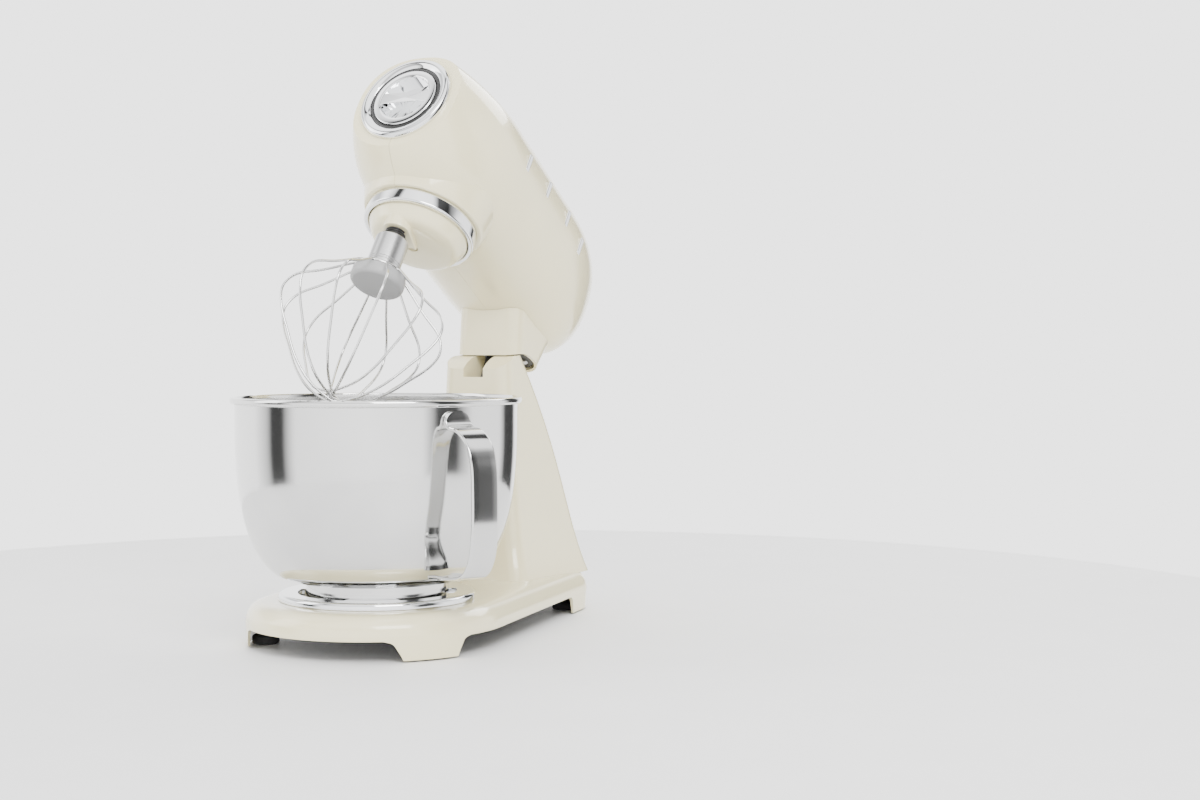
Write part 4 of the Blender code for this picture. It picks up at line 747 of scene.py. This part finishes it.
def make_studs():
    """Four plain chrome studs along each side of the head, sunk a little into the enamel."""
    sizes = bpy.context.scene.mixer_sizes
    half_width, half_length = sizes.stud_width / 2, sizes.stud_length / 2
    sunk, proud = 0.0012, 0.0014
    for side, letter in ((-1, "left"), (1, "right")):
        for k, (y, z) in enumerate(STUD_PLACES):
            nearest = min(head_ring(y, 0.0, 400), key=lambda p: abs(p.z - z) + (1 if p.x * side < 0 else 0))
            x = nearest.x
            stud = block("side_stud_%s_%d" % (letter, k + 1),
                         (x - sunk if side > 0 else x - proud, y - half_width, z - half_length),
                         (x + proud if side > 0 else x + sunk, y + half_width, z + half_length))
            install(soften(stud, 0.0010, 4, 30), "head", "chrome", HEAD_PLACE)


def cut_half(mesh, side):
    """Keeps one side of the middle plane and closes the cut."""
    shape = bmesh.new()
    shape.from_mesh(mesh)
    everything = shape.verts[:] + shape.edges[:] + shape.faces[:]
    cut = bmesh.ops.bisect_plane(shape, geom=everything, plane_co=(side * GAP / 2, 0, 0), dist=1e-7,
                                 plane_no=(side, 0, 0), clear_inner=True)
    edges = [item for item in cut["geom_cut"] if isinstance(item, bmesh.types.BMEdge)]
    bmesh.ops.triangle_fill(shape, use_beauty=True, edges=edges, normal=(-side, 0, 0))
    bmesh.ops.recalc_face_normals(shape, faces=shape.faces)
    shape.to_mesh(mesh)
    shape.free()


def neck_ring(z, inset=0.0):
    rise = z - HEAD_BOTTOM_Z
    front = COLLAR_FRONT_Y - 0.56 * rise + inset
    rear = COLLAR_REAR_Y + 0.20 * rise - inset
    corner = min(0.016 - inset / 2, 0.4 * (rear - front))
    return [Vector((x, y, z)) for x, y in rounded_box_outline(COLLAR_HALF - inset, front, rear, corner)]


def make_neck():
    low, high = HINGE.z + 0.020, HEAD_BOTTOM_Z + 0.032
    collar = loft("neck_sleeve", [neck_ring(z) for z in (low, high)])
    inside = loft("inside", [neck_ring(z, COLLAR_WALL) for z in (low - 0.01, high + 0.01)])
    drum = along_x(cylinder("drum", EAR_RADIUS + 0.001, -0.1, 0.1, sides=128), HINGE.y, HINGE.z)
    combine(collar, [inside, head_solid("head", -GAP, 112, 44), drum])
    soften(collar, 0.0006, 2, 60)
    return install(collar, "head", "cream_enamel", HEAD_PLACE, ["neck_collar"], 45)


def make_front():
    """The chrome bezel, its seal and the pull-off cap with two half-moon recesses."""
    f, b = FACE_Y, BEZEL_RADIUS
    crown = smooth_curve([(CAP_RADIUS + 0.0037, f - 0.0030), (CAP_RADIUS + 0.006, f - 0.0044),
                          (b - 0.004, f - 0.0052), (b - 0.0012, f - 0.0042), (b - 0.0001, f - 0.0018),
                          (b, f - 0.0004)], 5)
    profile = ([(CAP_RADIUS + 0.0035, f + 0.010), (CAP_RADIUS + 0.0035, f - 0.0026)] + crown
               + [(b, f), (b - 0.0038, f), (b - 0.0038, f + 0.010)])
    install(along_y(turned("front_trim", profile, 128), 0, CAP_Z), "head", "chrome", HEAD_PLACE,
            ["front_bezel"])
    profile = [(CAP_RADIUS + GAP, f - 0.0024), (CAP_RADIUS + 0.0010, f - 0.0030),
               (CAP_RADIUS + 0.0024, f - 0.0030), (CAP_RADIUS + 0.0035 - GAP, f - 0.0024),
               (CAP_RADIUS + 0.0035 - GAP, f + 0.009), (CAP_RADIUS + GAP, f + 0.009)]
    install(along_y(turned("front_gasket", profile, 128), 0, CAP_Z), "head", "black_plastic", HEAD_PLACE,
            ["front_seal"])
    r = CAP_RADIUS
    profile = [(0, f + 0.010), (0.0070, f + 0.010), (0.0070, f + 0.006), (r, f + 0.006), (r, f - 0.0028),
               (r - 0.0003, f - 0.0036), (r - 0.0010, f - 0.0041), (0.0250, f - 0.0042),
               (0.0242, f - 0.0040), (0.0236, f - 0.0036), (0, f - 0.0036)]
    cap = along_y(turned("front_cap", profile, 128), 0, CAP_Z)
    moons = []
    for side in (-1, 1):
        moon = along_y(cylinder("moon", 0.0228, f - 0.02, f + 0.0035), 0, CAP_Z)
        rest = block("rest", (-0.05, f - 0.03, CAP_Z - 0.1 if side > 0 else CAP_Z - 0.0058),
                     (0.05, f + 0.02, CAP_Z + 0.0058 if side > 0 else CAP_Z + 0.1))
        moons.append(combine(moon, [rest]))
    combine(cap, moons)
    soften(cap, 0.0006, 3, 50)
    install(cap, "cap", "chrome", HEAD_PLACE, ["hub_cap"])


def make_hub():
    """The chrome ring under the head and the turning cover inside it."""
    low, high, r = HUB_RING_BOTTOM_Z, HUB_RING_TOP_Z, HUB_RADIUS
    profile = [(COVER_RADIUS + 0.001, low + 0.001), (COVER_RADIUS + 0.0016, low + 0.0003),
               (r - 0.0018, low), (r - 0.0008, low + 0.0003), (r - 0.0002, low + 0.0010), (r, low + 0.002),
               (r, high - 0.001), (r - 0.0004, high - 0.0003), (r - 0.001, high),
               (COVER_RADIUS + 0.001, high)]
    install(turned("hub_trim", profile, 160), "head", "chrome", HEAD_PLACE, ["hub_ring"])
    top, bottom, c = low + 0.004 - GAP, COVER_BOTTOM_Z, COVER_RADIUS
    side = smooth_curve([(c, top - 0.004), (c - 0.0015, top - 0.0068), (c - 0.006, bottom + 0.0045),
                         (c - 0.014, bottom + 0.0014), (0.012, bottom)], 6)
    cover = turned("drive_cover", [(0, top), (c, top)] + side + [(0, bottom)], 128)
    teardrop = wrapped_outline([(0, -0.004, 0.006), (0, SHAFT_Y, 0.0125)], radians(5))
    rings = [[Vector((x, y + (1 - s) * SHAFT_Y * 0.7, z)) for x, y in
              [(px * s, py * s) for px, py in teardrop]]
             for z, s in ((bottom - 0.0035, 0.93), (bottom - 0.0030, 0.98), (bottom - 0.0020, 1.0),
                          (bottom + 0.010, 1.0))]
    combine(cover, [loft("boss", rings)], "UNION")
    combine(cover, [cylinder("bore", SHAFT_RADIUS + 0.0006, 0.2, 0.4, (0, SHAFT_Y), 48),
                    cylinder("recess", 0.0050, 0.2, bottom + 0.004, sides=48)])
    install(cover, "planetary", "cream_enamel", HEAD_PLACE, ["planet_cover"])
    head = turned("cover_screw_head", [(0, bottom + 0.0020), (0.0012, bottom + 0.0013),
                                       (0.0030, bottom + 0.0012), (0.0040, bottom + 0.0020),
                                       (0.0040, bottom + 0.0037), (0, bottom + 0.0037)], 48)
    cuts = [block("cut", (-0.0030, -0.0004, 0.2), (0.0030, 0.0004, bottom + 0.0024)),
            block("cut", (-0.0004, -0.0030, 0.2), (0.0004, 0.0030, bottom + 0.0023))]
    install(combine(head, cuts), "planetary", "machined_steel", HEAD_PLACE, ["cover_screw"])


def coil(name, radius, wire, low, high, turns, centre):
    steps = int(turns * 40)
    path = []
    for k in range(steps + 1):
        turn = tau * turns * k / steps
        z = low + wire + (high - low - 2 * wire) * k / steps
        path.append(Vector((centre[0] + radius * cos(turn), centre[1] + radius * sin(turn), z)))
    return wire_along(name, path, wire)


def make_shaft():
    """The beater shaft with its cross pin, washer and spring."""
    place = (0, SHAFT_Y)
    end, top = WHISK_TOP_Z - 0.022, head_top("beater_shaft")
    r = SHAFT_RADIUS
    shaft = turned("drive_shaft", [(0, end), (r - 0.001, end), (r - 0.0003, end + 0.0003), (r, end + 0.001),
                                   (r, top), (0, top)], 48, place)
    cross = along_x(cylinder("cross", 0.0017, -0.02, 0.02, sides=24), SHAFT_Y, PIN_Z)
    install(combine(shaft, [cross]), "beater", "machined_steel", HEAD_PLACE, ["beater_shaft"])
    pin = turned("pin", [(0, -0.0095), (0.0011, -0.0095), (0.0014, -0.0092), (0.0014, 0.0092),
                         (0.0011, 0.0095), (0, 0.0095)], 24)
    pin.name = "drive_pin"
    install(along_x(pin, SHAFT_Y, PIN_Z), "beater", "machined_steel", HEAD_PLACE, ["beater_pin"])
    washer_top = WHISK_TOP_Z + 0.0019
    low = WHISK_TOP_Z + GAP
    washer = turned("shaft_washer", [(r + GAP, low), (0.0120, low), (0.0125, low + 0.0004),
                                     (0.0125, washer_top - 0.0004), (0.0120, washer_top),
                                     (r + GAP, washer_top)], 64, place)
    turns = coil("turns", 0.0085, 0.0008, washer_top - 0.0005, COVER_BOTTOM_Z - 0.0038, 3, place)
    install(combine(washer, [turns], "UNION"), "beater", "black_plastic", HEAD_PLACE, ["shaft_spring"])


def head_top(node):
    """The drawing height of a head node's upper end, from its box in the frame."""
    low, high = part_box(node)
    back = HEAD_PLACE.inverted()
    corners = [back @ Vector((x, y, z)) for x in (low[0], high[0]) for y in (low[1], high[1])
               for z in (low[2], high[2])]
    return min(0.2805, max(corner.z for corner in corners))


# ---- whisk
def rounded(points, times):
    """The same path with its corners eased and its ends kept."""
    for _ in range(times):
        points = [points[0]] + [tuple((a + 2 * b + c) / 4 for a, b, c in zip(before, point, after))
                                for before, point, after in zip(points, points[1:], points[2:])
                                ] + [points[-1]]
    return points


def whisk_path(index, wire):
    """One loop in its own plane. Each loop crosses the axis above the one before."""
    start = WIRE_PLATE_Z + WIRE_PLATE_THICKNESS / 2
    lift = index * (2 * wire + 0.0003)
    tall = start - WHISK_TIP_Z - wire
    root = WHISK_DISC_RADIUS - 0.003
    knots = [(root, start), (root + 0.0035, start - 0.0004)]
    knots += [(WHISK_RADIUS * share, start - drop * tall) for share, drop in (
        (0.65, 0.150), (0.87, 0.225), (0.97, 0.305), (1.0, 0.40), (0.90, 0.53), (0.76, 0.64), (0.58, 0.79),
        (0.31, 0.93))]
    half = rounded(smooth_curve(knots + [(0.0, start - tall)], 4), 3)
    lifted = [(x, z + lift * ((start - z) / tall) ** 8) for x, z in half]
    return lifted + [(-x, z) for x, z in reversed(lifted[:-1])]


def make_whisk():
    place = (0, SHAFT_Y)
    low, high, r = WHISK_HUB_BOTTOM_Z, WHISK_TOP_Z, WHISK_HUB_RADIUS
    bore = SHAFT_RADIUS + 0.0006
    profile = [(bore, high), (r - 0.0014, high), (r - 0.0005, high - 0.0003), (r, high - 0.0012)]
    for z in (high - 0.0240, high - 0.0262):
        profile += [(r, z + 0.0004), (r - 0.0005, z), (r - 0.0005, z - 0.0006), (r, z - 0.0010)]
    profile += [(r, low + 0.0006), (r - 0.0006, low), (bore, low)]
    hub = turned("whisk_ferrule", profile, 96, place)
    slot = block("slot", (-0.0100, SHAFT_Y - 0.0020, PIN_Z - 0.0022), (0.0100, SHAFT_Y + 0.0020, 0.25))
    install(combine(hub, [slot]), "whisk", "brushed_steel", HEAD_PLACE, ["whisk_hub"])
    low, high, r = WHISK_DISC_BOTTOM_Z, WHISK_DISC_TOP_Z, WHISK_DISC_RADIUS
    disc = turned("whisk_base", [(0, low), (r - 0.0040, low), (r - 0.0022, low + 0.0005),
                                 (r - 0.0007, low + 0.0018), (r, low + 0.0038), (r, high - 0.0010),
                                 (r - 0.0003, high - 0.0003), (r - 0.0010, high), (0, high)], 96, place)
    install(disc, "whisk", "grey_plastic", HEAD_PLACE, ["whisk_disc"])
    wires = turned("whisk_loops", [(0, WIRE_PLATE_Z), (r - 0.0016, WIRE_PLATE_Z),
                                   (r - 0.0010, WIRE_PLATE_Z + 0.0006),
                                   (r - 0.0010, WIRE_PLATE_Z + WIRE_PLATE_THICKNESS - 0.0006),
                                   (r - 0.0016, WIRE_PLATE_Z + WIRE_PLATE_THICKNESS),
                                   (0, WIRE_PLATE_Z + WIRE_PLATE_THICKNESS)], 96, place)
    wire = bpy.context.scene.mixer_sizes.wire_radius
    loops = []
    for k in range(WIRE_LOOPS):
        turn = Matrix.Translation((*place, 0)) @ Matrix.Rotation(pi * (k + 0.5) / WIRE_LOOPS, 4, "Z")
        loops.append(wire_along("loop", [turn @ Vector((x, 0, z)) for x, z in whisk_path(k, wire)], wire))
    joined(wires, loops)
    install(wires, "whisk", "stainless_steel", HEAD_PLACE, ["whisk_wires"], 50)


def joined(target, others):
    """Adds the others' meshes to the target's, as separate shells of one piece."""
    shape = bmesh.new()
    for piece in [target] + others:
        shape.from_mesh(piece.data)
    shape.to_mesh(target.data)
    shape.free()
    for piece in others:
        bpy.data.objects.remove(piece)
    return target


# ---- controls
def make_controls():
    top = HEAD_TOP_Z + 0.0005
    knob_low = top + 0.0025
    stalk = block("stalk", (-0.0024, LEVER_Y - 0.004, 0.378), (0.0024, LEVER_Y + 0.004, top + 0.004))
    levels = smooth_curve([(knob_low, 0.0094, 0.0060), (knob_low + 0.0012, 0.0100, 0.0065),
                           (knob_low + 0.005, 0.0110, 0.0075), (knob_low + 0.0070, 0.0104, 0.0069),
                           (knob_low + 0.008, 0.0090, 0.0056)], 4)
    rings = [[Vector((x, y, z)) for x, y in rounded_box_outline(half, LEVER_Y - reach, LEVER_Y + reach,
                                                                0.004, radians(6))]
             for z, half, reach in levels]
    knob = combine(loft("speed_knob", rings), [stalk], "UNION")
    install(knob, "lever", "chrome", HEAD_PLACE, ["speed_lever"])
    track = prism("speed_guide", rounded_box_outline(0.0085, LEVER_Y - 0.011, LEVER_Y + LEVER_TRAVEL + 0.011,
                                                     0.004, radians(6)), top, top + 0.0015)
    slot = prism("slot", rounded_box_outline(0.0032, LEVER_Y - 0.006, LEVER_Y + LEVER_TRAVEL + 0.006, 0.002,
                                             radians(9)), 0.3, 0.5)
    install(soften(combine(track, [slot]), 0.0004, 2, 50), "head", "black_plastic", HEAD_PLACE,
            ["speed_track"])


def make_screws():
    """Four screws that hold the plate under the base."""
    plate_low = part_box("bottom_plate")[0][2]
    for k, (x, y) in enumerate(SCREW_PLACES):
        head = turned("base_screw_%d" % (k + 1), [
            (0, plate_low - 0.0016), (0.0022, plate_low - 0.0015), (0.0034, plate_low - 0.0008),
            (0.0036, plate_low - 0.0002), (0, plate_low - 0.0002)], 48, (x, y))
        cuts = [block("cut", (x - 0.0022, y - 0.0003, 0), (x + 0.0022, y + 0.0003, plate_low - 0.0008)),
                block("cut", (x - 0.0003, y - 0.0022, 0), (x + 0.0003, y + 0.0022, plate_low - 0.0009))]
        install(combine(head, cuts), "base", "machined_steel", BASE_PLACE)


def dress_the_rest():
    """Gives each CAD node that still shows the finish of its own slot."""
    finishes = mixer_finishes()
    for part in frame["record"]["subparts"]:
        node = frame["nodes"][part["node"]]
        if node.hide_render:
            continue
        for k in range(len(node.material_slots)):
            node.material_slots[k].material = finishes[part["material_slot"]]


# ---- stage
def shade_ramp(tree, bands):
    """A ramp of greys with one stop for each band."""
    ramp = add_node(tree, "ValToRGB")
    stops = ramp.color_ramp.elements
    stops[0].position, stops[1].position = bands[0][0], bands[-1][0]
    for where, _ in bands[1:-1]:
        stops.new(where)
    for stop, (where, shade) in zip(stops, bands):
        stop.position = where
        stop.color = (shade, shade, shade, 1.0)
    return ramp


def make_floor():
    settings = bpy.context.scene.mixer_stage
    shade, radius = settings.floor_shade, settings.floor_radius
    turns = [tau * k / FLOOR_SIDES for k in range(FLOOR_SIDES)]
    edge = [(radius * cos(turn), radius * sin(turn), CAD_BOX[0][2]) for turn in turns]
    floor = add_object("studio_floor", edge, [tuple(range(FLOOR_SIDES))])
    floor.data.materials.append(finish("Studio Floor", grey(shade * 0.985), grey(shade), 0.55, 0.0, 20,
                                       bump=0.0, spread=0.04))


def make_room():
    """A pale room with dark bands round it and a dimmer band above, for the metal to mirror."""
    world = bpy.data.worlds.new("Studio")
    bpy.context.scene.world = world
    world.use_nodes = True
    tree = world.node_tree
    link = tree.links.new
    place = add_node(tree, "TexCoord")
    turned_room = add_node(tree, "Mapping", {"Rotation": (0, 0, ROOM_TURN)})
    parts = add_node(tree, "SeparateXYZ")
    bearing = add_node(tree, "Math")
    bearing.operation = "ARCTAN2"
    share = add_node(tree, "Math", {1: 1 / tau, 2: 0.5})
    share.operation = "MULTIPLY_ADD"
    round_room = shade_ramp(tree, ROOM_BANDS)
    upward = shade_ramp(tree, SKY_BANDS)
    both = add_node(tree, "Mix")
    both.data_type = "RGBA"
    both.blend_type = "MULTIPLY"
    both.inputs["Factor"].default_value = 1.0
    link(place.outputs["Generated"], turned_room.inputs["Vector"])
    link(turned_room.outputs["Vector"], parts.inputs["Vector"])
    link(parts.outputs["Y"], bearing.inputs[0])
    link(parts.outputs["X"], bearing.inputs[1])
    link(bearing.outputs["Value"], share.inputs[0])
    link(share.outputs["Value"], round_room.inputs["Fac"])
    link(parts.outputs["Z"], upward.inputs["Fac"])
    link(round_room.outputs["Color"], both.inputs["A"])
    link(upward.outputs["Color"], both.inputs["B"])
    link(both.outputs["Result"], tree.nodes["Background"].inputs["Color"])
    light = bpy.context.scene.mixer_stage.room_light
    tree.nodes["Background"].inputs["Strength"].default_value = light


def make_lamps():
    for name, spot, size, power in LAMPS:
        lamp = bpy.data.lights.new(name, "AREA")
        lamp.shape = "RECTANGLE"
        lamp.size, lamp.size_y = size
        lamp.energy = power * bpy.context.scene.mixer_stage.lamp_power
        made = bpy.data.objects.new(name, lamp)
        made.location = spot
        made.rotation_euler = (LAMP_AIM - Vector(spot)).to_track_quat("-Z", "Y").to_euler()
        bpy.context.collection.objects.link(made)


def make_camera():
    lens = bpy.data.cameras.new("camera")
    lens.lens = bpy.context.scene.mixer_stage.lens
    lens.sensor_width = 36.0
    lens.clip_start = 0.05
    camera = bpy.data.objects.new("camera", lens)
    camera.location = BASE_PLACE @ CAMERA_SPOT
    camera.rotation_euler = (pi / 2 - CAMERA_DIP, 0, CAMERA_TURN)
    bpy.context.collection.objects.link(camera)
    bpy.context.scene.camera = camera


# ---- settings a user would change
class MixerLooks(PropertyGroup):
    enamel: FloatVectorProperty(name="Enamel", description="Colour of the painted castings",
                                subtype="COLOR", size=3, min=0.0, max=1.0, default=(0.91, 0.83, 0.54))


class MixerSizes(PropertyGroup):
    wire_radius: FloatProperty(name="Whisk wire", description="Radius of the whisk's wires",
                               default=WIRE_RADIUS, min=0.0005, max=0.002, unit="LENGTH", precision=5)
    stud_length: FloatProperty(name="Stud length", description="Length of the studs on the head",
                               default=0.017, min=0.005, max=0.03, unit="LENGTH", precision=4)
    stud_width: FloatProperty(name="Stud width", description="Width of the studs on the head",
                              default=0.0052, min=0.003, max=0.01, unit="LENGTH", precision=4)


class MixerStage(PropertyGroup):
    floor_radius: FloatProperty(name="Floor radius", description="Radius of the round floor", default=0.85,
                                min=0.3, max=20.0, unit="LENGTH")
    floor_shade: FloatProperty(name="Floor shade", description="Brightness of the floor", default=0.92,
                               min=0.0, max=1.0, subtype="FACTOR")
    room_light: FloatProperty(name="Room light", description="Strength of the light from all round",
                              default=3.0, min=0.0, max=10.0)
    lamp_power: FloatProperty(name="Lamp power", description="Share of the full power of the soft lamps",
                              default=1.0, min=0.0, max=5.0)
    lens: FloatProperty(name="Lens", description="Focal length of the camera", default=54.67, min=10.0,
                        max=300.0, unit="CAMERA")


# ---- operators
class MIXER_OT_stage(Operator):
    """Sets the floor, the room, the lamps and the camera"""
    bl_idname = "mixer.stage"
    bl_label = "Stage"

    def execute(self, context):
        make_floor()
        make_room()
        make_lamps()
        make_camera()
        return {"FINISHED"}


class MIXER_OT_base(Operator):
    """Makes the base with its column, feet, screws and cord bush"""
    bl_idname = "mixer.base"
    bl_label = "Base"

    def execute(self, context):
        make_base()
        make_feet()
        make_screws()
        make_rear_fittings()
        return {"FINISHED"}


class MIXER_OT_seat(Operator):
    """Makes the ring that the bowl locks into"""
    bl_idname = "mixer.seat"
    bl_label = "Locking ring"

    def execute(self, context):
        make_seat()
        return {"FINISHED"}


class MIXER_OT_bowl(Operator):
    """Makes the bowl, its foot and its strap handle"""
    bl_idname = "mixer.bowl"
    bl_label = "Bowl"

    def execute(self, context):
        make_bowl()
        make_bowl_foot()
        make_handle()
        return {"FINISHED"}


class MIXER_OT_head(Operator):
    """Makes the two head castings, their studs and the neck sleeve"""
    bl_idname = "mixer.head"
    bl_label = "Head"

    def execute(self, context):
        make_head()
        make_studs()
        make_neck()
        return {"FINISHED"}


class MIXER_OT_front(Operator):
    """Makes the chrome trim, the gasket and the cap"""
    bl_idname = "mixer.front"
    bl_label = "Front cap"

    def execute(self, context):
        make_front()
        return {"FINISHED"}


class MIXER_OT_hub(Operator):
    """Makes the hub trim, the drive cover and the drive shaft"""
    bl_idname = "mixer.hub"
    bl_label = "Hub"

    def execute(self, context):
        make_hub()
        make_shaft()
        return {"FINISHED"}


class MIXER_OT_whisk(Operator):
    """Makes the whisk's ferrule, base and wire loops"""
    bl_idname = "mixer.whisk"
    bl_label = "Whisk"

    def execute(self, context):
        make_whisk()
        return {"FINISHED"}


class MIXER_OT_controls(Operator):
    """Makes the speed knob and its guide"""
    bl_idname = "mixer.controls"
    bl_label = "Controls"

    def execute(self, context):
        make_controls()
        return {"FINISHED"}


class MIXER_OT_inner_parts(Operator):
    """Gives the inner parts their finishes"""
    bl_idname = "mixer.inner_parts"
    bl_label = "Inner parts"

    def execute(self, context):
        dress_the_rest()
        return {"FINISHED"}


OPERATORS = [MIXER_OT_stage, MIXER_OT_base, MIXER_OT_seat, MIXER_OT_bowl, MIXER_OT_head, MIXER_OT_front,
             MIXER_OT_hub, MIXER_OT_whisk, MIXER_OT_controls, MIXER_OT_inner_parts]


class MIXER_PT_panel(Panel):
    """Lists the mixer's makers and settings."""
    bl_idname = "MIXER_PT_panel"
    bl_label = "Stand Mixer"
    bl_space_type = "VIEW_3D"
    bl_region_type = "UI"
    bl_category = "Mixer"

    def draw(self, context):
        scene = context.scene
        for group in (scene.mixer_looks, scene.mixer_sizes, scene.mixer_stage):
            for key in group.__annotations__:
                self.layout.prop(group, key)
        for operator in OPERATORS:
            self.layout.operator(operator.bl_idname)


CLASSES = [MixerLooks, MixerSizes, MixerStage, *OPERATORS, MIXER_PT_panel]


def register():
    for item in CLASSES:
        bpy.utils.register_class(item)
    bpy.types.Scene.mixer_looks = PointerProperty(type=MixerLooks)
    bpy.types.Scene.mixer_sizes = PointerProperty(type=MixerSizes)
    bpy.types.Scene.mixer_stage = PointerProperty(type=MixerStage)


def unregister():
    del bpy.types.Scene.mixer_stage
    del bpy.types.Scene.mixer_sizes
    del bpy.types.Scene.mixer_looks
    for item in reversed(CLASSES):
        bpy.utils.unregister_class(item)


def main():
    register()
    for operator in OPERATORS:
        group, name = operator.bl_idname.split(".")
        getattr(getattr(bpy.ops, group), name)()


if __name__ == "__main__":
    main()
